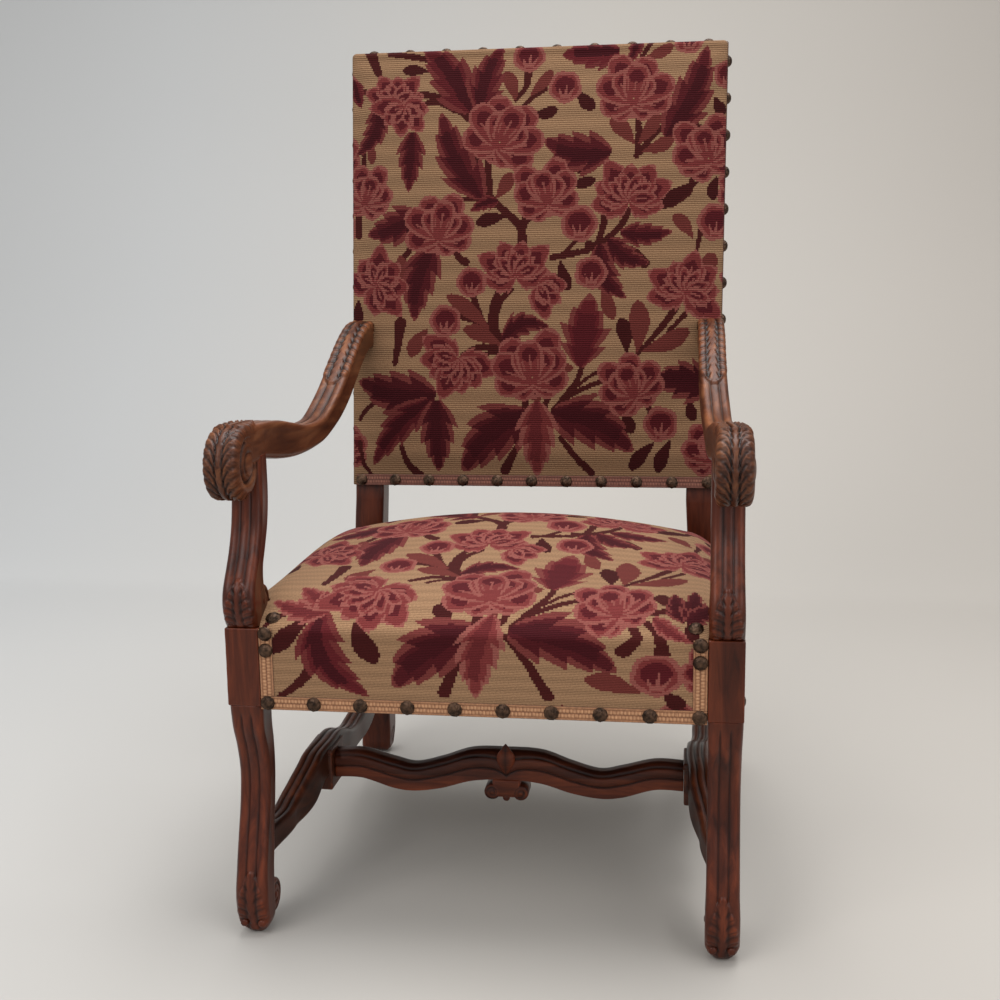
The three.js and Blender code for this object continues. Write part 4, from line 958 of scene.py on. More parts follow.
def ramp(tree, source, *stops):
    """A colour by place between 0 and 1. A stop's colour is one grey or three values."""
    made = tree.nodes.new("ShaderNodeValToRGB")
    elements = made.color_ramp.elements
    while len(elements) < len(stops):
        elements.new(0.5)
    for element, (place, colour) in zip(elements, stops):
        element.position = place
        element.color = (*np.broadcast_to(colour, 3), 1)
    tree.links.new(source, made.inputs["Fac"])
    return made.outputs["Color"]


def feed(tree, socket, value):
    if isinstance(value, bpy.types.NodeSocket):
        tree.links.new(value, socket)
    else:
        socket.default_value = value


def multiplied(tree, a, b, factor=1.0):
    """The product of two colours, blended in by the factor."""
    made = node(tree, "ShaderNodeMix", data_type="RGBA", blend_type="MULTIPLY")
    for index, value in ((0, factor), (6, a), (7, b)):
        feed(tree, made.inputs[index], value)
    return made.outputs[2]


def maths(tree, operation, *values):
    made = node(tree, "ShaderNodeMath", operation=operation)
    for socket, value in zip(made.inputs, values):
        feed(tree, socket, value)
    return made.outputs[0]


def object_place(tree, scale=None):
    """The place on the piece itself, stretched by a scale along each axis."""
    place = tree.nodes.new("ShaderNodeTexCoord").outputs["Object"]
    if scale is None:
        return place
    mapping = node(tree, "ShaderNodeMapping", Scale=scale)
    tree.links.new(place, mapping.inputs["Vector"])
    return mapping.outputs["Vector"]


def axes(tree, place):
    parts = tree.nodes.new("ShaderNodeSeparateXYZ")
    tree.links.new(place, parts.inputs["Vector"])
    return parts.outputs


def noise(tree, place, scale, detail, **more):
    made = node(tree, "ShaderNodeTexNoise", Scale=scale, Detail=detail, **more)
    if place is not None:
        tree.links.new(place, made.inputs["Vector"])
    return made.outputs["Fac"]


def surface(tree, shader, colour, height, strength, distance):
    """Wires a colour and a bump to the shader."""
    bump = node(tree, "ShaderNodeBump", Strength=strength, Distance=distance)
    tree.links.new(colour, shader.inputs["Base Color"])
    tree.links.new(height, bump.inputs["Height"])
    tree.links.new(bump.outputs["Normal"], shader.inputs["Normal"])


def relief_value(tree):
    return node(tree, "ShaderNodeAttribute", attribute_name="relief").outputs["Fac"]


# How the wood is darkened at the bottom of a cut and lightened at its crest: patina in the cuts together with
# painted shade there, and a painted highlight on the crests
DEEP_PATINA_SHADE_AND_HIGHLIGHT = ((0.0, (0.14, 0.12, 0.11)), (0.35, (0.5, 0.46, 0.44)), (0.7, 0.95), (1.0, (1.75, 1.75, 1.7)))
SOFT_PATINA_SHADE_AND_HIGHLIGHT = ((0.0, (0.36, 0.31, 0.29)), (0.35, (0.62, 0.57, 0.54)), (0.7, 0.92), (1.0, (1.3, 1.29, 1.26)))
WORN_EDGES = ((0.47, (0.55, 0.5, 0.48)), (0.5, 1.0), (0.56, (1.5, 1.42, 1.35)))


def wood_material(name, tones, grain, gloss=0.4, hollows=DEEP_PATINA_SHADE_AND_HIGHLIGHT):
    """Waxed wood in a dark, a middle and a light tone. grain is how finely the figure runs along x, y and z,
    hollows the patina, painted shade and painted highlight of the carving, if there is any."""
    made, tree, shader = material(
        name, Specular_IOR_Level=0.26, Coat_Weight=0.04, Coat_Roughness=0.25)
    figure = noise(tree, object_place(tree, grain), 1.0, 8.0, Roughness=0.62, Distortion=0.6)
    colour = ramp(tree, figure, *[(place, linear(*tone)) for place, tone in zip((0.3, 0.5, 0.72), tones)])
    broad = noise(tree, object_place(tree), 9.0, 3.0)
    colour = multiplied(tree, colour, ramp(tree, broad, (0.3, (0.72, 0.68, 0.66)), (0.7, (1.15, 1.12, 1.1))))
    # the relief value darkens the cuts as patina and painted shade, and lightens the crests as painted
    # highlight
    if hollows:
        colour = multiplied(tree, colour, ramp(tree, relief_value(tree), *hollows))
    edges = tree.nodes.new("ShaderNodeNewGeometry").outputs["Pointiness"]
    colour = multiplied(tree, colour, ramp(tree, edges, *WORN_EDGES), 0.6)
    tree.links.new(maths(tree, "MULTIPLY_ADD", figure, 0.22, gloss - 0.1), shader.inputs["Roughness"])
    surface(tree, shader, colour, figure, 0.25, 0.0006)
    return made


def tapestry_material(name, rib, depth):
    """Ribbed wool tapestry: coloured stitches, painted darker along the grooves between the ribs and a little
    lighter on their crests, as painted shade and painted highlight.
    """
    made, tree, shader = material(
        name, Roughness=0.95, Sheen_Weight=0.03, Sheen_Roughness=0.6, Specular_IOR_Level=0.05)
    place = node(tree, "ShaderNodeUVMap", uv_map="cloth").outputs["UV"]
    pattern = node(tree, "ShaderNodeVertexColor", layer_name="pattern").outputs["Color"]
    shifted = maths(tree, "MULTIPLY_ADD", noise(tree, place, 120.0, 2.0), 0.0006, axes(tree, place)["Y"])
    phase = maths(tree, "FRACT", maths(tree, "MULTIPLY", shifted, 1000 / rib))
    wave = maths(tree, "ABSOLUTE", maths(tree, "SUBTRACT", phase, 0.5))
    # painted shade in the grooves between the ribs, painted highlight on their crests
    line = ramp(
        tree, wave, (0.0, (0.36, 0.3, 0.28)), (0.1, (0.5, 0.44, 0.4)), (0.2, (0.98, 0.97, 0.96)),
        (0.5, (1.1, 1.08, 1.06)))
    stitch = noise(tree, place, 700.0, 2.0)
    yarn = ramp(tree, stitch, (0.3, (0.78, 0.76, 0.74)), (0.7, (1.2, 1.18, 1.15)))
    colour = multiplied(tree, multiplied(tree, pattern, line, depth), yarn, 0.8)
    height = maths(tree, "MULTIPLY_ADD", stitch, 0.5, wave)
    surface(tree, shader, colour, height, 0.6, 0.0011)
    return made


def cloth_material(name, colour, other, scale, weave=0.5):
    """A plain woven cloth in two yarns."""
    made, tree, shader = material(name, Roughness=0.95)
    parts = axes(tree, object_place(tree, (scale, scale, scale)))
    warp = maths(tree, "SINE", maths(tree, "ADD", parts["X"], parts["Y"]))
    weft = maths(tree, "SINE", maths(tree, "ADD", parts["Z"], parts["Y"]))
    cloth = maths(tree, "MULTIPLY_ADD", maths(tree, "MULTIPLY", warp, weft), 0.5, 0.5)
    base = ramp(tree, cloth, (0.2, linear(*other)), (0.8, linear(*colour)))
    tone = ramp(tree, noise(tree, object_place(tree), 30.0, 4.0), (0.3, 0.8), (0.7, 1.15))
    surface(tree, shader, multiplied(tree, base, tone), cloth, weave, 0.0008)
    return made


def braid_material(name, *tones):
    """Silk braid, darker where the threads dive under and lighter where they rise: partly the silk's own
    colours, partly painted shade and painted highlight.
    """
    made, tree, shader = material(name, Roughness=0.8, Sheen_Weight=0.1)
    thread = noise(tree, object_place(tree), 260.0, 3.0)
    stops = [(place, linear(*tone)) for place, tone in zip((0.0, 0.3, 0.62, 1.0), tones)]
    tone = ramp(tree, thread, (0.3, (0.75, 0.72, 0.7)), (0.7, (1.12, 1.1, 1.08)))
    surface(tree, shader, multiplied(tree, ramp(tree, relief_value(tree), *stops), tone), thread, 0.4, 0.0005)
    return made


def metal_material(name, base, light, rough):
    made, tree, shader = material(name, Metallic=0.85)
    patina = noise(tree, object_place(tree), 160.0, 5.0)
    tree.links.new(maths(tree, "MULTIPLY_ADD", patina, 0.3, rough), shader.inputs["Roughness"])
    colour = ramp(tree, patina, (0.35, linear(*base)), (0.7, linear(*light)))
    surface(tree, shader, colour, patina, 0.3, 0.0004)
    return made


ALONG_Z, ALONG_Y, ALONG_X = (70, 70, 7), (70, 7, 70), (7, 70, 70)
walnut_up = wood_material(
    "walnut_upright", ((46, 16, 7), (75, 31, 15), (102, 47, 25)), ALONG_Z, gloss=0.34, hollows=SOFT_PATINA_SHADE_AND_HIGHLIGHT)
walnut_along = wood_material("walnut_along", ((37, 15, 8), (63, 29, 15), (89, 44, 23)), ALONG_Y)
walnut_cross = wood_material("walnut_cross", ((44, 16, 8), (74, 32, 17), (106, 51, 28)), ALONG_X)
pale_walnut = wood_material("walnut_arm", ((54, 26, 15), (87, 49, 29), (118, 75, 47)), ALONG_Y)
beech_rail = wood_material(
    "beech", ((140, 104, 66), (172, 134, 92), (196, 160, 116)), ALONG_X, gloss=0.7, hollows=None)
seat_tapestry = tapestry_material("tapestry_seat", rib=2.55, depth=0.75)
back_tapestry = tapestry_material("tapestry_back", rib=3.3, depth=1.0)
lining_cloth = cloth_material("lining", (96, 78, 62), (58, 46, 38), 2200.0)
hessian_cloth = cloth_material("hessian", (176, 146, 98), (108, 84, 52), 1500.0, weave=0.9)
webbing_cloth = cloth_material("webbing", (150, 134, 98), (96, 82, 58), 1200.0, weave=0.9)
stuffing_hair = cloth_material("stuffing", (92, 74, 54), (48, 38, 28), 700.0, weave=1.0)
spring_steel = metal_material("spring_steel", (90, 92, 96), (140, 140, 142), 0.3)

# Every solid of the model has its own finish, also where upholstery hides it
FINISHES = (
    ("back_hessian", hessian_cloth), ("seat_hessian", hessian_cloth), ("strap", webbing_cloth),
    ("spring", spring_steel), ("stuffing", stuffing_hair), ("rail", beech_rail), ("corner_block", beech_rail),
    ("dust_cover", lining_cloth), ("outer_cover", lining_cloth),
)
for name, piece in nodes.items():
    for word, finish in FINISHES:
        if word in name:
            for place in piece.material_slots:
                place.material = finish
            break


# The tapestry's drawing. Its places are in drawing squares of 3.15 mm, counted to the right
# and down from a corner above the top left of the back, as the cloth is laid on the chair
SQUARE = 3.15
DRAWING_MIDDLE = 101.3
DRAWING_FOOT = 233.2
REPEAT_ACROSS, REPEAT_UP = 188.0, 221.0

GROUND = linear(153, 121, 93)
LEAF_EDGE, LEAF_MID, LEAF_CORE = linear(118, 59, 56), linear(98, 34, 39), linear(66, 20, 26)
STEM, DROP_DARK, DROP_MID = linear(70, 26, 25), linear(64, 22, 22), linear(106, 50, 46)
ROSE_PALE, ROSE_MID, ROSE_DARK = linear(142, 82, 76), linear(118, 52, 52), linear(84, 27, 33)

# points along the stem, then half its width at the first and at the last of them
STEMS = (
    ((96, 112), (95, 105), (88, 98), (80, 90), (75, 76), (71, 67), 2.4, 1.4),
    ((79, 66), (79, 78), (80, 90), 2.2, 1.6),
    ((14, 36), (21, 37), (40, 38), (53, 40), (61, 44), (69, 51), 1.4, 2.2),
    ((46, 43), (54, 43), (62, 47), 1.2, 1.6), ((61, 92), (68, 91), (76, 91), 1.5, 1.0),
    ((96, 112), (97, 104), (100, 101), 1.8, 1.4), ((96, 105), (97, 98), (96, 93), 1.2, 1.0),
    ((15, 76), (16, 62), (20, 54), (24, 52), 1.2, 1.4),
    ((148, 98), (143, 107), (132, 115), (121, 119), (111, 120), 1.7, 1.3),
    ((137, 98), (135, 108), (132, 116), 2.0, 1.3), ((122, 113), (117, 118), (112, 121), 1.1, 1.1),
    ((151, 49), (152, 60), (151, 72), 1.7, 1.3), ((153, 70), (160, 61), (168, 57), (181, 58), 1.7, 1.1),
    ((178, 84), (176, 90), (168, 95), 1.3, 2.4), ((152, 25), (158, 15), (164, 13), 1.2, 1.4),
    ((98, 29), (97, 36), (92, 43), 2.0, 1.0), ((106, 38), (100, 42), (96, 46), 1.4, 1.0),
    ((29, 17), (40, 19), (48, 21), 1.8, 1.4), ((19, 16), (21, 22), (23, 27), 3.0, 1.8),
    ((12, 98), (12, 108), 1.6, 1.6), ((183, 108), (181, 118), 1.6, 0.8),
    ((44, 108), (38, 118), (30, 126), 1.8, 1.3), ((62, 116), (66, 121), (68, 122), 1.6, 2.2),
    ((128, 114), (140, 116), (150, 118), (156, 124), 1.4, 2.4),
    ((111, 121), (120, 118), (128, 118), 1.3, 1.3), ((72, 139), (76, 150), (81, 158), 1.7, 1.5),
    ((91, 136), (86, 141), (83, 150), (83, 158), 1.3, 1.8), ((86, 134), (82, 143), (81, 152), 1.5, 1.8),
    ((66, 149), (75, 152), (83, 158), 1.6, 1.4), ((67, 168), (75, 164), (83, 165), (88, 166), 1.5, 1.8),
    ((74, 170), (80, 167), (88, 167), 1.1, 1.1), ((82, 156), (86, 164), (90, 168), 3.0, 3.0),
    ((126, 174), (124, 180), (118, 188), (112, 195), 1.4, 1.3),
    ((136, 175), (128, 180), (118, 188), 1.0, 1.0), ((136, 181), (126, 185), (117, 190), 1.3, 1.3),
    ((171, 146), (163, 157), (153, 168), 1.9, 1.2), ((176, 149), (168, 157), 1.4, 1.0),
    ((98, 193), (99, 186), (100, 180), 1.8, 1.3), ((108, 193), (110, 186), (106, 182), 1.4, 1.4),
    ((35, 152), (34, 160), (32, 172), 3.0, 1.4), ((13, 200), (16, 196), (22, 191), 1.0, 1.4),
)
BACK_STEMS = (
    ((97, 209), (92, 217), (88, 225), 1.2, 2.6), ((116, 209), (123, 218), (131, 226), 1.3, 2.0),
    ((35, 214), (38, 222), (44, 228), 1.2, 2.2), ((13, 212), (15, 222), (19, 228), 1.2, 1.0),
    ((158, 191), (160, 196), 1.8, 1.4),
)
# base, tip, width, bend, tone from 0 for dark to 1 for rose
LEAVES = (
    ((70, 48), (46, 14), 21, 2, 0.45), ((74, 48), (85, 15), 17, -2, 0.4), ((76, 91), (55, 48), 19, -3, 0.3),
    ((41, 57), (39, 87), 13, 0, 0.3), ((24, 44), (11, 68), 12, -4, 0.2),
    ((44, 98), (17, 108), 18, -2, 0.25), ((139, 70), (106, 63), 20, -3, 0.25),
    ((165, 63), (184, 19), 19, 3, 0.3), ((142, 20), (114, 21), 16, 0, 0.6),
    ((144, 109), (169, 109), 11, 1, 0.3), ((52, 114), (42, 151), 18, 3, 0.25),
    ((134, 114), (147, 141), 15, 5, 0.2), ((138, 112), (158, 124), 12, 3, 0.2),
    ((86, 161), (110, 154), 12, -5, 0.2), ((152, 13), (147, 26), 7, 0, 0.45),
    ((10, 30), (14, 44), 8, 0, 0.6), ((84, 92), (70, 97), 7, 1, 0.5), ((100, 196), (66, 226), 26, 4, 0.2),
    ((111, 196), (152, 215), 24, -4, 0.2),
)
BACK_LEAVES = (
    ((189, 185), (160, 180), 19, 2, 0.05), ((53, 188), (12, 181), 23, -3, 0.15),
    ((50, 190), (20, 223), 15, 3, 0.35), ((53, 190), (54, 226), 18, 0, 0.15),
    ((104, 191), (104, 228), 19, 0, 1.0),
)
# base, tip, width, dark
DROPS = (
    ((48, 27), (36, 26), 5, 1), ((122, 39), (130, 48), 6, 1), ((118, 78), (131, 75), 5, 1),
    ((118, 85), (131, 83), 4.5, 1), ((181, 85), (163, 97), 6, 1), ((190, 82), (188, 93), 5, 1),
    ((88, 100), (74, 103), 6, 1), ((92, 43), (87, 29), 6, 0), ((99, 41), (109, 29), 5, 0),
    ((100, 51), (112, 48), 5, 1), ((83, 91), (90, 79), 6, 0), ((150, 66), (139, 54), 7, 0),
    ((152, 66), (161, 52), 6, 0), ((154, 70), (168, 64), 6, 0), ((179, 112), (170, 101), 6, 0),
    ((188, 44), (193, 52), 5, 1), ((20, 60), (20, 72), 4, 0), ((72, 90), (71, 66), 6, 1),
    ((153, 25), (167, 18), 5, 0), ((186, 12), (194, 8), 5, 1), ((148, 167), (145, 151), 7, 1),
    ((49, 155), (40, 168), 7, 0), ((153, 167), (153, 143), 9, 0), ((155, 167), (177, 157), 8, 0),
    ((136, 133), (141, 150), 6, 0), ((80, 155), (60, 139), 7, 0), ((86, 163), (68, 155), 7, 0),
    ((115, 122), (119, 136), 6, 1), ((35, 131), (35, 119), 5, 0), ((12, 140), (12, 152), 5, 1),
    ((106, 176), (121, 174), 5, 0), ((109, 178), (114, 186), 6, 0), ((104, 184), (104, 191), 4, 0),
    ((179, 190), (181, 200), 5, 1), ((182, 128), (190, 120), 7, 0),
)
BACK_DROPS = (
    ((162, 211), (151, 224), 6, 1), ((170, 210), (164, 225), 6, 1), ((148, 195), (151, 206), 6, 1),
)
# middle, radius
BUDS = (
    (98, 21, 8), (116, 37, 8), (124, 104, 9), (175, 15, 7.5), (190, 104, 9), (194, 33, 7), (71, 132, 7.5),
    (130, 128, 8), (58, 151, 8),
)
BACK_BUDS = ((165, 202, 8.5),)
# middle, radius, turn
PEONIES = (
    (17, 86, 13, 0.2), (55, 103, 15.5, 0.1), (87, 58, 17.5, 0.45), (107, 87, 15, -0.2),
    (149, 38, 16.5, 0.0), (184, 68, 15.5, -0.3), (101, 173, 17.5, -0.1), (149, 182, 14.5, -0.5),
    (190, 214, 13, 0.0),
)
# middle, radius, petals, turn, spread
LILIES = (
    (32, 42, 17, 5, 3.5, 2.6), (36, 44, 17, 5, 0.2, 2.9), (148, 93, 22, 7, 3.0, 3.5),
    (22, 133, 20, 7, 3.3, 4.6), (93, 129, 21, 6, 3.0, 3.2), (104, 134, 17, 3, 0.0, 1.3),
    (176, 138, 21, 7, 3.0, 3.9),
)
BACK_LILIES = ((64, 170, 21, 7, 0.3, 3.4),)
SEAT_LILIES = ((55, 177, 24, 7, 0.3, 3.6),)
# base, tip, width
TULIPS = (((125, 174), (130, 138), 22),)
SEAT_LEAVES = (
    ((36.5, 190), (56, 231), 19, 8, 0.5), ((39, 190), (15, 185), 11, -2, 1.0),
    ((38, 189), (24, 175), 10, 0, 1.0), ((37, 189), (35, 178), 8, 0, 1.0),
    ((165, 189), (180, 200), 7, 1, 1.0), ((177, 191), (173, 174), 9, -1, 0.15),
    ((178, 191), (181, 171), 9, 1, 0.1), ((178, 191), (190, 181), 9, 0, 0.1),
    ((104, 190), (98, 230), 17, 2, 1.0),
)
SEAT_STEMS = (
    ((98, 206), (91, 214), (86, 228), 1.4, 2.6), ((110, 199), (118, 212), (126, 228), 1.4, 2.4),
    ((34, 218), (28, 226), (21, 232), 2.6, 1.4), ((155, 191), (159.5, 198), (154.5, 205), 1.0, 3.2),
    ((161, 190), (167.5, 197), (169, 206), 1.0, 3.0), ((164, 187), (173, 184), (168, 178), 1.2, 3.0),
)
SEAT_DROPS = (
    ((51, 193), (59, 213.5), 8.5, 1), ((33, 192), (19, 210), 7.5, 1), ((161, 225), (141, 219), 8, 0),
    ((170, 224), (177, 231), 6, 1), ((88, 183), (83, 192), 8, 1),
)
SEAT_BUDS = ((166.8, 216.3, 10.0),)


def near(x, y, cx, cy, reach):
    return np.nonzero((np.abs(x - cx) < reach) & (np.abs(y - cy) < reach))[0]


def near_axis(x, y, base, tip, more):
    """The places near the line from base to tip, with their share along it and their distance from it."""
    at = near(x, y, (base[0] + tip[0]) / 2, (base[1] + tip[1]) / 2, math.dist(base, tip) * 0.6 + more)
    return at, *axis_place(x[at], y[at], base, tip)


def axis_place(x, y, base, tip):
    dx, dy = tip[0] - base[0], tip[1] - base[1]
    length = math.hypot(dx, dy)
    along = ((x - base[0]) * dx + (y - base[1]) * dy) / length / length
    return along, ((y - base[1]) * dx - (x - base[0]) * dy) / length


def between(p, high=1):
    return (p > 0) & (p < high)


def teeth(value):
    """A sawtooth that runs from 0 to 1."""
    return value - np.floor(value)


def blend_colours(a, b, share):
    return tuple(u + (v - u) * share for u, v in zip(a, b))


def paint_stem(x, y, colour, stem):
    line, first, last = spline(stem[:-2], 10), stem[-2], stem[-1]
    middle = line.mean(axis=0)
    at = near(x, y, *middle, np.abs(line - middle).max() + 4)
    gap = np.full(len(at), 9.0)
    for point, width in zip(line, np.linspace(first, last, len(line))):
        gap = np.minimum(gap, np.hypot(x[at] - point[0], y[at] - point[1]) - width)
    colour[at[gap < 0]] = STEM


def paint_leaf(x, y, colour, base, tip, width, bend, tone):
    at, p, q = near_axis(x, y, base, tip, width * 0.6)
    q = q - bend * np.sin(np.pi * unit(p))
    inside = between(p)
    p = unit(p)
    body = width / 2 * np.sin(np.pi * p**0.66) ** 0.75
    tooth = teeth(4 * p - np.abs(q) / width)
    edge = body * (0.84 + 0.36 * tooth * (p > 0.14))
    share = np.abs(q) / np.maximum(edge, 0.01)
    core_edge = 0.54 + 0.16 * (tooth - 0.5)
    leaf = inside & (share < 1)
    if tone > 0.8:
        edge_colour, mid_colour, core_colour = ROSE_PALE, ROSE_MID, blend_colours(ROSE_MID, ROSE_DARK, 0.6)
    else:
        edge_colour = blend_colours(LEAF_EDGE, LEAF_MID, tone)
        mid_colour = blend_colours(LEAF_CORE, LEAF_MID, min(1, tone * 1.6))
        core_colour = LEAF_CORE
    colour[at[leaf]] = edge_colour
    colour[at[leaf & (share < core_edge + 0.12) & (p < 0.95)]] = mid_colour
    core_side = q * (1 if bend >= 0 else -1) > -0.25 * edge
    colour[at[leaf & (share < core_edge - 0.12) & (p < 0.8) & core_side]] = core_colour


def paint_drop(x, y, colour, base, tip, width, dark):
    at, p, q = near_axis(x, y, base, tip, width)
    inside = between(p, 1.05)
    p = unit(p / 1.05)
    body = width / 2 * np.sin(np.pi * p**1.5) ** 0.7 + 0.45
    q = q - 0.12 * width * np.sin(np.pi * p)
    colour[at[inside & (np.abs(q) < body)]] = DROP_DARK if dark else DROP_MID


def paint_petal(x, y, colour, at, base, tip, width, pointed, fingers):
    """One petal with a pale border, a dark hollow and a few pale fingers that rise from its foot."""
    p, q = axis_place(x[at], y[at], base, tip)
    inside = between(p)
    p = unit(p)
    if pointed:
        body = width / 2 * np.sin(np.pi * p**0.72) ** 0.85 * (0.9 + 0.2 * teeth(3.2 * p))
        low, high = 0.2, 0.76
    else:
        from_widest = np.where(p > 0.6, (p - 0.6) / 0.4, (0.6 - p) / 0.72)
        body = width / 2 * np.sqrt(unit(1 - from_widest**2))
        low, high = 0.4, 0.82
    share = np.abs(q) / np.maximum(body, 0.01)
    colour[at[inside & (share < 1)]] = ROSE_PALE
    rim = 1 - 1.6 / max(width / 2, 2.6)
    colour[at[inside & (share < rim) & (p < 1 - 2.0 / math.dist(base, tip))]] = ROSE_MID
    hollow = 0.56 * np.sin(np.pi * unit((p - low) / (high - low))) ** 0.6
    colour[at[inside & (share < hollow) & (p > low) & (p < high)]] = ROSE_DARK
    for k in range(fingers):
        aside = (k - (fingers - 1) / 2) * 0.34 * width * (0.5 + 0.8 * p)
        reach = 0.46 + 0.14 * ((k + int(width)) % 2)
        colour[at[inside & (np.abs(q - aside) < 0.5) & (p > 0.2) & (p < reach)]] = FINGER_ROSE


def turned_place(cx, cy, angle, reach):
    return cx + reach * math.cos(angle), cy + reach * math.sin(angle)


FINGER_ROSE = blend_colours(ROSE_PALE, ROSE_MID, 0.2)
# turn from the flower's axis in degrees, length and width as shares of its radius
PEONY_PETALS = (
    (172, 0.62, 0.74), (-132, 0.82, 0.76), (128, 0.84, 0.76), (-100, 1.1, 0.8), (96, 1.12, 0.78),
    (-26, 1.46, 0.86), (26, 1.48, 0.86), (-64, 1.28, 0.86), (62, 1.28, 0.84), (-20, 0.98, 0.8),
    (34, 0.92, 0.74), (4, 1.12, 0.8),
)


def paint_bud(x, y, colour, cx, cy, r):
    at = near(x, y, cx, cy, r + 2)
    angle = np.arctan2(y[at] - cy, x[at] - cx)
    gap = np.hypot(x[at] - cx, y[at] - cy) * (1 + 0.04 * np.sin(5 * angle + cx))
    colour[at[gap < r]] = ROSE_PALE
    colour[at[gap < 0.8 * r]] = ROSE_MID
    inner = np.hypot(x[at] - cx, (y[at] - cy + 0.08 * r) * 1.1)
    colour[at[inner < 0.6 * r]] = ROSE_DARK
    for k in (-1, 0, 1):
        base = (cx + 0.16 * r * k, cy + 0.72 * r)
        tip = (cx + (0.46 * k + 0.1) * r, cy - 0.12 * r + 0.2 * r * abs(k))
        p, q = axis_place(x[at], y[at], base, tip)
        colour[at[between(p) & (np.abs(q) < 1.1 - p)]] = ROSE_PALE


def paint_peony(x, y, colour, cx, cy, r, turn):
    at = near(x, y, cx, cy, r * 1.3)
    front = len(PEONY_PETALS) - 1
    axis = -math.pi / 2 + turn
    foot = turned_place(cx, cy, axis, -0.36 * r)
    for k, (away, length, width) in enumerate(PEONY_PETALS):
        angle = axis + math.radians(away + 6 * math.sin(2.1 * k + cx))
        reach = length * r * (0.96 + 0.06 * math.sin(1.7 * k + cy))
        tip = turned_place(*foot, angle, reach)
        base = turned_place(*foot, angle, 0.02 * r)
        paint_petal(x, y, colour, at, base, tip, width * r, False, 2 if k < front else 3)


def paint_lily(x, y, colour, cx, cy, r, petals, turn, spread):
    at = near(x, y, cx, cy, r * 1.15)
    step = spread / (petals - 1)
    for k in sorted(range(petals), key=lambda k: -abs(k - (petals - 1) / 2)):
        reach = r * (0.92 + 0.14 * math.sin(2.3 * k + cx))
        tip = turned_place(cx, cy, turn + step * k, reach)
        paint_petal(x, y, colour, at, (cx, cy), tip, 0.74 * r, True, 1)
    for k in range(petals - 1):
        tip = turned_place(cx, cy, turn + step * (k + 0.5), 0.62 * r)
        paint_petal(x, y, colour, at, (cx, cy), tip, 0.36 * r, True, 1)


def paint_tulip(x, y, colour, base, tip, width):
    at, p, q = near_axis(x, y, base, tip, 8.0)
    inside = between(p)
    p = unit(p)
    bowl = np.sin(np.pi * np.clip(p, 0, 0.5)) ** 0.5 * unit((1.0 - p) / 0.45) ** 0.75
    body = width / 2 * bowl * (0.78 + 0.4 * teeth(4 * p - 0.5 * np.abs(q) / width))
    for scale, tone, cut in ((1.0, LEAF_EDGE, 1.0), (0.7, LEAF_MID, 0.9), (0.5, ROSE_DARK, 0.72)):
        colour[at[inside & (p < cut) & (np.abs(q) < scale * body)]] = tone


# Each kind of motif in the order of painting: its brush, the common ones, the back's own and the seat's own
MOTIFS = (
    (paint_drop, DROPS, BACK_DROPS, SEAT_DROPS), (paint_leaf, LEAVES, BACK_LEAVES, SEAT_LEAVES),
    (paint_lily, LILIES, BACK_LILIES, SEAT_LILIES), (paint_peony, PEONIES, (), ()),
    (paint_bud, BUDS, BACK_BUDS, SEAT_BUDS), (paint_tulip, TULIPS, (), ()),
)
# The repeats beside, above and below the one that faces front, which is painted last
REPEATS = ((0, -1), (0, 1), (-1, 0), (1, 0), (0, 0))


def paint_repeat(x, y, colour, back):
    """All the motifs of one repeat of the cloth, on the places that lie near it."""
    at = np.nonzero((x > -16) & (x < 220) & (y > -16) & (y < 262))[0]
    x, y, patch = x[at], y[at], colour[at]
    for stem in STEMS + (BACK_STEMS if back else SEAT_STEMS):
        paint_stem(x, y, patch, stem)
    for paint, common, back_own, seat_own in MOTIFS:
        for motif in common + (back_own if back else seat_own):
            paint(x, y, patch, *motif)
    colour[at] = patch


def drawing(a, b, back):
    """The stitch colours at cloth places in millimetres: a across, b up from the foot."""
    x = DRAWING_MIDDLE + a / SQUARE
    y = DRAWING_FOOT - b / SQUARE
    weave = np.sin(a * 0.9 + b * 2.1) * np.sin(b * 1.7 - a * 0.37) + np.sin(b * 5.3)
    fade = 0.5 + 0.25 * np.sin(a * 0.011 + 1) + 0.25 * np.sin(b * 0.013)
    colour = np.array(GROUND)[None, :] * (0.95 + 0.05 * weave[:, None] + 0.06 * fade[:, None])
    for over, up in REPEATS:
        paint_repeat(x + over * REPEAT_ACROSS, y + up * REPEAT_UP, colour, back)
    # painted shade: the back is painted darker all over than the seat, which gets more light from above, and
    # darker still near its foot, where the seat shades it
    painted_back_shade = 0.8 - 0.2 * smooth(70, 8, b) if back else np.ones(b.shape)
    return colour * painted_back_shade[:, None] * (1 + 0.035 * weave[:, None])


def back_pattern(a, b):
    return drawing(a, b, True)


SEAT_DRAWING_SHIFT, SEAT_DRAWING_RISE = -6.0, 198.0


def seat_pattern(a, b):
    return drawing(a + SEAT_DRAWING_SHIFT, b + SEAT_DRAWING_RISE, False)


# The cloth settles over its filling
SETTLING_FRAMES = 18
SETTLING_VALUES = {
    "quality": 5, "mass": 0.4, "tension_stiffness": 18.0, "compression_stiffness": 18.0,
    "shear_stiffness": 8.0, "bending_stiffness": 1.2, "vertex_group_mass": "pins", "use_pressure": True,
    "uniform_pressure_force": 2.0,
}


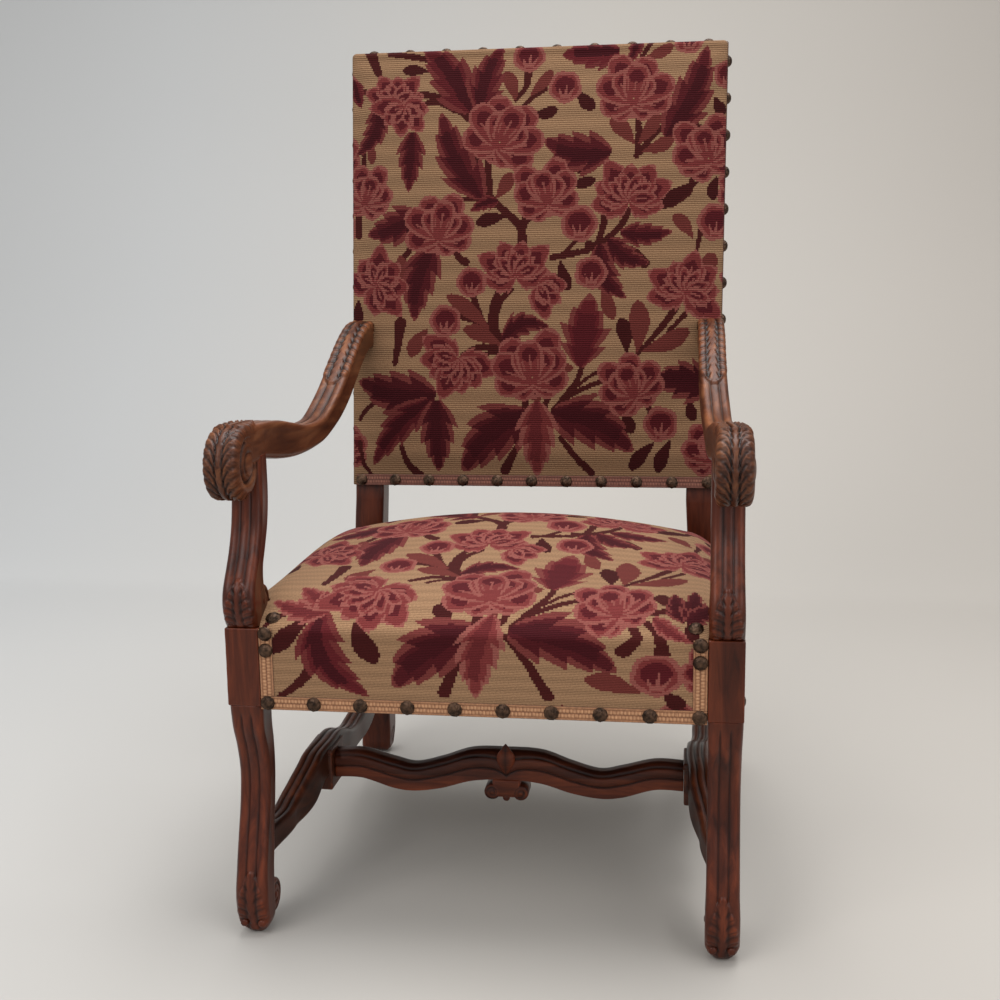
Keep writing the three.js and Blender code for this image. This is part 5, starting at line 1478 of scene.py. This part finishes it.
def settled(shape, across, along, held, most):
    """A coarse copy of the cloth is blown against its stitched edges, and the fine cloth moves with it."""
    a, b = np.meshgrid(across, along)
    start = row_frame(shape(a, b)).reshape(-1, 3)
    rows, count = a.shape
    mesh = bpy.data.meshes.new("coarse cloth")
    mesh.from_pydata(start.tolist(), [], grid_quads(rows, count).reshape(-1, 4).tolist())
    cloth = placed("coarse cloth", mesh)
    scene = bpy.context.scene
    pins = cloth.vertex_groups.new(name="pins")
    pins.add([int(k) for k in np.nonzero(held(a, b).ravel())[0]], 1.0, "REPLACE")
    filling = cloth.modifiers.new("filling", "CLOTH")
    for key, value in SETTLING_VALUES.items():
        setattr(filling.settings, key, value)
    filling.settings.effector_weights.gravity = 0.0
    filling.collision_settings.use_collision = False
    for frame_number in range(1, SETTLING_FRAMES + 1):
        scene.frame_set(frame_number)
    result = cloth.evaluated_get(bpy.context.evaluated_depsgraph_get()).to_mesh()
    moved = np.empty(len(start) * 3)
    result.vertices.foreach_get("co", moved)
    shift = (moved.reshape(-1, 3) - start) * 1000
    cloth.to_mesh_clear()
    bpy.data.objects.remove(cloth)
    scene.frame_set(1)
    length = np.linalg.norm(shift, axis=1, keepdims=True)
    shift = (shift * np.minimum(1, most / np.maximum(length, 1e-6))).reshape(rows, count, 3)
    if not np.isfinite(shift).all():
        shift = np.zeros_like(shift)

    def moved_shape(a, b):
        u = np.clip((a - across[0]) / (across[1] - across[0]), 0, count - 1.001)
        v = np.clip((b - along[0]) / (along[1] - along[0]), 0, rows - 1.001)
        i, j = np.floor(u).astype(int), np.floor(v).astype(int)
        p, q = (u - i)[..., None], (v - j)[..., None]
        low = shift[j, i] * (1 - p) + shift[j, i + 1] * p
        high = shift[j + 1, i] * (1 - p) + shift[j + 1, i + 1] * p
        return shape(a, b) + low * (1 - q) + high * q

    return moved_shape


# The pieces
def dressed(piece, slot, *node_names):
    """Puts a piece on the chair's one body, in the place of the named solids."""
    if node_names:
        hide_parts(*node_names)
    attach(piece, "root")
    return piece


def wood_piece(name, node_name, parts, finish, slot):
    dressed(add_mesh(name, weld(parts), finish), slot, node_name)


for word, build, finish, slot in (
    ("front_leg", front_leg_parts, walnut_up, "walnut"), ("arm_support", support_parts, walnut_up, "walnut"),
    ("armrest", arm_parts, pale_walnut, "pale_walnut"), ("rear_leg", rear_leg_parts, walnut_up, "walnut"),
    ("side_stretcher", side_stretcher_parts, walnut_along, "walnut"),
):
    parts = build()
    wood_piece(f"carved_{word}_right", f"{word}_right", parts, finish, slot)
    wood_piece(f"carved_{word}_left", f"{word}_left", mirrored(parts), finish, slot)
wood_piece("carved_cross_stretcher", "cross_stretcher", cross_parts(), walnut_cross, "walnut")

RAIL_EASED, RAIL_TOP = 9.5, SEAT_FRONT_EDGE - 51.0
rail_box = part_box("front_seat_rail")
rail_low, rail_high = (np.array(corner) * 1000 - np.array([0, SHIFT, 0]) for corner in rail_box)
# its top edge is worn round and lies well below the cloth
rail_high[2] = min(rail_high[2], RAIL_TOP)
rail = block_shell(rail_low, rail_high, RAIL_EASED)
wood_piece("front_rail_rounded", "front_seat_rail", [rail], beech_rail, "beech")


def stitches(start, end, step):
    """Places a stitch apart from about one length to another."""
    return np.arange(round(start / step), round(end / step) + 1) * step


def tapestry(name, columns, rows, coarse, shape, held, most, keep, pattern, finish):
    """One tapestry, which settles first."""
    spread = [np.linspace(line[0], line[-1], count) for line, count in zip((columns, rows), coarse)]
    shape = settled(shape, *spread, held, most)
    (verts, quads), corner, uv = cloth_grid(columns, rows, shape, keep, pattern)
    return add_mesh(name, (verts, quads, (), None), finish, colours=corner, uv=uv)


SEAT_STITCH, BACK_STITCH, BACK_ROW = 2.55, 2.17, 2.29
SEAT_COARSE, BACK_COARSE = (64, 64), (60, 64)
SEAT_GIVE, BACK_GIVE = 5.0, 6.0
# how far the seat's sheet hangs down at the sides and in front, and runs on behind
SEAT_SIDE_HANG, SEAT_FRONT_HANG, SEAT_REAR_RUN = 72, 204, 125
SEAT_REACH = SEAT_SIDE_FRONT + (math.pi / 2 - 1) * SEAT_SIDE_ROUND + SEAT_SIDE_HANG
seat_columns = stitches(-SEAT_REACH, SEAT_REACH, SEAT_STITCH)
seat_end = SEAT_BACK - SEAT_FRONT - SEAT_FRONT_ROUND + SEAT_REAR_RUN
seat_rows = stitches(-SEAT_FRONT_HANG, seat_end, SEAT_STITCH)


def seat_held(a, b):
    point = seat_shape(a, b)
    x, y, z = np.abs(point[..., 0]), point[..., 1], point[..., 2]
    on_rails = (z < RAIL_COVER + 4) | (b < -150) | (b > seat_rows[-1] - 130)
    at_post = (x > LEG_INNER - 20) & (y < BLOCK_DEPTH + 12)
    return on_rails | at_post | ((y > SEAT_BACK - 40) & (x > STILE_INNER - 30))


seat_cloth = tapestry(
    "tapestry_seat", seat_columns, seat_rows, SEAT_COARSE, seat_shape, seat_held, SEAT_GIVE, seat_keep,
    seat_pattern, seat_tapestry)
dressed(seat_cloth, "tapestry", "seat_cover", "seat_stuffing")

BACK_REACH = BACK_HALF - BACK_CORNER + BACK_CORNER * math.pi / 2 + BACK_WRAP
back_columns = stitches(-BACK_REACH, BACK_REACH, BACK_STITCH)
back_rows = stitches(0, BACK_TOP - BACK_BOTTOM + BACK_WRAP, BACK_ROW)


def back_held(a, b):
    side = np.abs(a) > BACK_HALF - 4
    return side | (b < 24) | (b > BACK_TOP - BACK_BOTTOM - 10)


back_cloth = tapestry(
    "tapestry_back", back_columns, back_rows, BACK_COARSE, back_shape, back_held, BACK_GIVE, back_keep,
    back_pattern, back_tapestry)
dressed(back_cloth, "tapestry", "back_cover", "back_stuffing")


# Gimp: a woven braid with a raised cord along each edge, and dark faceted nail heads on it
GIMP_WIDTH, GIMP_THICKNESS, NAIL_RADIUS, NAIL_RISE, NAIL_SPACING = 17.0, 1.6, 9.4, 6.2, 57.0
BRAID_GRID, BRAID_COLUMNS, CELL_LENGTH = 0.9, 23, 4.3
# how far out and how high each ring of a nail head lies, as shares, and its turn in sides
NAIL_TIERS = ((1.0, 0.0, 0), (1.0, 0.12, 0), (0.86, 0.46, 0.5), (0.55, 0.82, 0), (0.24, 0.97, 0.5))
NAIL_SIDES, NAIL_SUNK = 9, 1.0
braid_finish = braid_material("gimp_braid", (92, 55, 36), (142, 98, 68), (180, 132, 96), (212, 168, 130))
# painted shade: the back's braid is a darker, redder copy of the seat's braid, as the back's foot lies in
# shade
shaded_back_braid_finish = braid_material(
    "gimp_braid_back", (70, 36, 28), (98, 56, 44), (120, 74, 60), (158, 108, 86))
nail_finish = metal_material("nail_bronze", (44, 33, 26), (98, 74, 58), 0.28)


def braid_strip(length, frame_of):
    """The braid's top follows a small height drawing. frame_of(along, across, out) gives points."""
    half = GIMP_WIDTH / 2
    along = np.linspace(-length / 2, length / 2, int(length / BRAID_GRID))
    along, across = np.meshgrid(along, np.linspace(-half, half, BRAID_COLUMNS), indexing="ij")
    from_middle = np.abs(across)
    cord = bell(from_middle - half + 1.3, 1.0)
    twist = 0.5 + 0.5 * np.sin(along * 3.2 + from_middle * 1.6)
    inner = smooth(half - 2.2, half - 3.0, from_middle)
    cell = along / CELL_LENGTH + np.where(across > 0, 0.5, 0.0)
    row = unit(np.sin(math.pi * unit(from_middle / 5.6)))
    block = np.sqrt(np.abs(np.sin(math.pi * cell)) * row)
    rung = np.abs(np.sin(math.pi * cell * 2 + 0.6)) ** 0.5
    seam = bell(across, 0.6)
    weave = inner * unit(block * (0.42 + 0.58 * rung) - 0.5 * seam)
    height = np.minimum(0.5 + 0.7 * cord * (0.7 + 0.3 * twist) + 0.6 * weave, 1.45)
    # the raised cords and weave are painted lighter than the low ground between them, partly as the braid's
    # own colours and partly as painted highlight and shade
    tone = unit(0.62 * cord * (0.75 + 0.4 * twist) + inner * (0.1 + 0.8 * weave))
    top, low = frame_of(along, across, height), frame_of(along, across, 0 * height)
    # under the braid, three points across are enough; they are painted dark, as painted shade
    ring = np.concatenate([top, low[:, ::-11]], axis=1)
    return tube(ring, np.concatenate([tone, tone[:, ::-11] * 0.3], axis=1))


def nail_head(along, across, frame_of, turn):
    """A dome cut into flat facets, like a gem."""
    rings = []
    for reach, rise, shift in NAIL_TIERS:
        angle = turn + (np.arange(NAIL_SIDES) + shift) * 2 * math.pi / NAIL_SIDES
        rings.append(frame_of(
            along + NAIL_RADIUS * reach * np.cos(angle), across + NAIL_RADIUS * reach * np.sin(angle),
            GIMP_THICKNESS - 0.6 + NAIL_RISE * rise + 0 * angle))
    return tube(np.array(rings), np.full((len(rings), NAIL_SIDES), 0.7))


def nails(name, heads):
    verts, quads, tris, relief = weld(heads)
    return dressed(add_mesh(name, (verts, quads, tris, None), nail_finish, faceted=True), "steel")


def even_nails(length, end):
    run = length - 2 * end
    gaps = round(run / NAIL_SPACING)
    return [-run / 2 + run * i / gaps for i in range(gaps + 1)]


def trimmed(name, length, frame_of, places):
    """A strip of braid with its nails."""
    # the back's strips take the braid that is painted darker, as painted shade
    finish = shaded_back_braid_finish if name.startswith("back") else braid_finish
    dressed(add_mesh(f"braid_{name}", braid_strip(length, frame_of), finish), "gimp", name)
    heads = [nail_head(place, 0.0, frame_of, 0.37 * i) for i, place in enumerate(places)]
    bevel = nails(f"nails_{name}", heads).modifiers.new("soft edges", "BEVEL")
    bevel.width = 0.0006
    bevel.segments = 2


SEAT_STRIP_HALF = LEG_INNER - CLEARANCE
# nails on the cloth itself: beside the arm supports and at the rear corners
CLOTH_NAILS = ((258.0, -73.0), (256.0, 452.0))
STRIP_FACE = SEAT_FRONT - CLEARANCE
STRIP_MIDDLE = SEAT_COVER_BOTTOM + GIMP_WIDTH / 2
# how far behind the front of the stiles the middle of the back's side and top braid runs
BRAID_BEHIND = BACK_WRAP - GIMP_WIDTH / 2


def front_strip(along, across, out):
    return xyz(along, STRIP_FACE - out, STRIP_MIDDLE + across)


trimmed("seat_gimp_front", 2 * SEAT_STRIP_HALF, front_strip, even_nails(2 * SEAT_STRIP_HALF, GIMP_WIDTH / 2))
POST_LOW = SEAT_COVER_BOTTOM + GIMP_WIDTH + CLEARANCE
POST_HIGH = BLOCK_TOP - CLEARANCE
for word, sign in (("left", -1), ("right", 1)):
    def post_strip(along, across, out, sign=sign):
        x = sign * (SEAT_STRIP_HALF - GIMP_WIDTH / 2) + across
        return xyz(x, STRIP_FACE - out, (POST_LOW + POST_HIGH) / 2 + along)

    post_length = POST_HIGH - POST_LOW
    trimmed(f"seat_gimp_post_{word}", post_length, post_strip, [post_length / 2 - 6, post_length / 2 - 27])

    side_start = BLOCK_DEPTH + CLEARANCE
    side_end = float(rear_front_at(SEAT_COVER_BOTTOM + GIMP_WIDTH)) - CLEARANCE - 2
    side_length = side_end - side_start

    def side_strip(along, across, out, sign=sign):
        y = (side_start + side_end) / 2 + along
        return xyz(sign * (seat_half(y) + CLEARANCE + out), y, STRIP_MIDDLE + across)

    trimmed(f"seat_gimp_side_{word}", side_length, side_strip, even_nails(side_length, GIMP_WIDTH))

    back_length = BACK_TOP - BACK_BOTTOM

    def back_side(along, across, out, sign=sign):
        x = sign * (BACK_HALF + CLEARANCE + out)
        return leaned(xyz(x, BRAID_BEHIND + across, BACK_BOTTOM + back_length / 2 + along))

    trimmed(f"back_gimp_{word}", back_length, back_side, even_nails(back_length, NAIL_SPACING / 2))


def cloth_frame(a, b):
    """A nail's own directions at a place of the seat cloth."""
    def at(i, j):
        return seat_shape(np.array([a + i]), np.array([b + j]))[0]

    middle, first, second = at(0, 0), at(1, 0) - at(-1, 0), at(0, 1) - at(0, -1)
    first, second = first / np.linalg.norm(first), second / np.linalg.norm(second)
    outward = np.cross(first, second)

    def frame_of(along, across, out):
        along, across, out = np.broadcast_arrays(along, across, out)
        rise = out[..., None] - NAIL_SUNK
        return middle + first * along[..., None] + second * across[..., None] + outward * rise

    return frame_of


corner_places = [(sign * x, b) for sign in (-1, 1) for x, b in CLOTH_NAILS]
nails("nails_seat_corners", [nail_head(0.0, 0.0, cloth_frame(*place), 0.5) for place in corner_places])


def back_low_strip(along, across, out):
    return leaned(xyz(along, -BACK_PAD - CLEARANCE - out, BACK_BOTTOM + GIMP_WIDTH / 2 + across))


def back_top_strip(along, across, out):
    return leaned(xyz(along, BRAID_BEHIND + across, BACK_TOP + CLEARANCE + out))


low_length = 2 * (BACK_HALF - BACK_CORNER)
trimmed("back_gimp_bottom", low_length, back_low_strip, even_nails(low_length, GIMP_WIDTH / 2))
trimmed("back_gimp_top", 2 * BACK_HALF, back_top_strip, even_nails(2 * BACK_HALF, NAIL_SPACING / 2))


# The plain cloth over the rear of the back, and the dust cover under the seat
SHEET_THICKNESS = 0.001
DUST_INSET = 6


def flat_sheet(name, node_name, across, along, shape, wanted):
    a, b = np.meshgrid(across, along)
    points = shape(a, b)
    middle = (points[:-1, :-1] + points[1:, 1:]) / 2
    verts, quads = used_points(points, grid_quads(*a.shape)[wanted(middle)])
    piece = add_mesh(name, (verts, quads, (), None), lining_cloth)
    thick = piece.modifiers.new("thickness", "SOLIDIFY")
    thick.thickness = SHEET_THICKNESS
    thick.offset = 0
    dressed(piece, "lining", node_name)


OUTER_HEIGHT, TACK_SPACING = STILE_TOP - BACK_BOTTOM, 38.0


def outer_shape(a, b):
    # tacked along the edges, a little slack between the tacks
    from_side, from_end = HALF_BACK - np.abs(a), np.minimum(b, OUTER_HEIGHT - b)
    slack = 2.2 * smooth(0, 120, np.minimum(from_side, from_end))
    pulls = np.sin(b * 2 * math.pi / TACK_SPACING) * smooth(26, 2, from_side)
    pulls = pulls + np.sin(a * 2 * math.pi / TACK_SPACING) * smooth(26, 2, from_end)
    return leaned(xyz(a, STILE_DEPTH + 1.6 - slack * 0.4 + 0.28 * pulls, BACK_BOTTOM + b))


flat_sheet(
    "cloth_back_outer", "back_outer_cover", np.linspace(-HALF_BACK + 1, HALF_BACK - 1, 116),
    np.linspace(0.5, OUTER_HEIGHT - 0.5, 137), outer_shape, lambda p: np.ones(p.shape[:2], bool))

dust_low, dust_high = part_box("seat_dust_cover")
DUST_Z = (dust_low[2] + dust_high[2]) * 500
DUST_FRONT, DUST_REAR = dust_low[1] * 1000 - SHIFT, dust_high[1] * 1000 - SHIFT


def dust_shape(a, b):
    half = seat_half(b) - DUST_INSET
    edge = np.minimum(half * (1 - np.abs(a)), np.minimum(b - DUST_FRONT, DUST_REAR - b))
    return xyz(a * half, b, DUST_Z - 3.5 * smooth(0, 160, edge))


def dust_wanted(points):
    x, y = np.abs(points[..., 0]), points[..., 1]
    post = (x > LEG_INNER - 1) & (y < BLOCK_DEPTH + 1)
    stile = (x > STILE_INNER * flare_at(DUST_Z) - 1) & (y > rear_front_at(DUST_Z) - 1)
    return ~post & ~stile


flat_sheet(
    "cloth_dust_cover", "seat_dust_cover", np.linspace(-1, 1, 150), np.linspace(DUST_FRONT, DUST_REAR, 150),
    dust_shape, dust_wanted)


# Camera, light and ground
CAMERA_AT = row_frame((251.5, -1501.1, 837.2))
YAW, PITCH, ROLL = math.radians(-8.41), math.radians(10.22), math.radians(-0.82)
# The focal length as a share of the sensor's width
FOCAL_SHARE = 1.32
SENSOR_WIDTH = 36.0
forward = Vector((math.sin(YAW) * math.cos(PITCH), math.cos(YAW) * math.cos(PITCH), -math.sin(PITCH)))
level = Vector((math.cos(YAW), -math.sin(YAW), 0))
upright = level.cross(forward)
right = math.cos(ROLL) * level + math.sin(ROLL) * upright
up = -math.sin(ROLL) * level + math.cos(ROLL) * upright
camera_data = bpy.data.cameras.new("camera")
camera_data.sensor_width = SENSOR_WIDTH
camera_data.lens = SENSOR_WIDTH * FOCAL_SHARE
camera = placed("camera", camera_data)
camera.matrix_world = Matrix((
    (right.x, up.x, -forward.x, CAMERA_AT[0]), (right.y, up.y, -forward.y, CAMERA_AT[1]),
    (right.z, up.z, -forward.z, CAMERA_AT[2]), (0, 0, 0, 1)))
bpy.context.scene.camera = camera


def lamp(name, place, target, size, energy, colour=(1, 1, 1)):
    data = bpy.data.lights.new(name, "AREA")
    data.size = size
    data.energy = energy
    data.color = colour
    made = placed(name, data)
    made.location = place
    made.rotation_euler = (Vector(target) - Vector(place)).to_track_quat("-Z", "Y").to_euler()


lamp("key", (-1.5, -2.5, 2.7), (0, 0, 0.5), size=1.8, energy=34, colour=(1.0, 0.98, 0.96))
lamp("fill", (2.2, -2.0, 1.8), (0, 0, 0.5), size=2.0, energy=19, colour=(1.0, 0.99, 0.98))
lamp("top", (0.25, 0.3, 3.2), (0.05, 0.2, 0.4), size=2.2, energy=82)

# Floor and wall in one bend
FLOOR_LINE = (
    (-9.0, 0.0), (-2.0, 0.0), (0.9, 0.0), (1.5, 0.06), (2.1, 0.3), (2.6, 0.8), (2.85, 1.5), (2.9, 2.4),
    (2.9, 5.0),
)
sweep = spline(FLOOR_LINE, 10)
ground_verts = [(x, y, z) for x in (-9.0, 9.0) for y, z in sweep]
ground_quads = [(i, i + 1, len(sweep) + i + 1, len(sweep) + i) for i in range(len(sweep) - 1)]
ground_mesh = bpy.data.meshes.new("ground")
ground_mesh.from_pydata(ground_verts, [], ground_quads)
ground_mesh.polygons.foreach_set("use_smooth", [True] * len(ground_mesh.polygons))
ground_finish, ground_tree, ground_shader = material("ground", Roughness=0.9)
ground_cloud = ramp(ground_tree, noise(ground_tree, None, 3.0, 2.0), (0.3, 0.97), (0.7, 1.03))
# painted light: the paper is painted cooler and brighter on the left, warmer and darker on the right
ground_side = axes(ground_tree, object_place(ground_tree))["X"]
ground_painted_light = ramp(
    ground_tree, maths(ground_tree, "MULTIPLY_ADD", ground_side, 0.25, 0.5), (0.1, linear(194, 195, 195)),
    (0.5, linear(189, 185, 179)), (0.9, linear(176, 170, 163)))
ground_colour = multiplied(ground_tree, ground_painted_light, ground_cloud)
ground_tree.links.new(ground_colour, ground_shader.inputs["Base Color"])
ground_mesh.materials.append(ground_finish)
placed("ground", ground_mesh)

world = bpy.data.worlds.new("studio")
world.use_nodes = True
world.node_tree.nodes["Background"].inputs["Color"].default_value = (0.9, 0.9, 0.9, 1)
world.node_tree.nodes["Background"].inputs["Strength"].default_value = 0.66
bpy.context.scene.world = world
bpy.context.scene.view_settings.view_transform = "Standard"
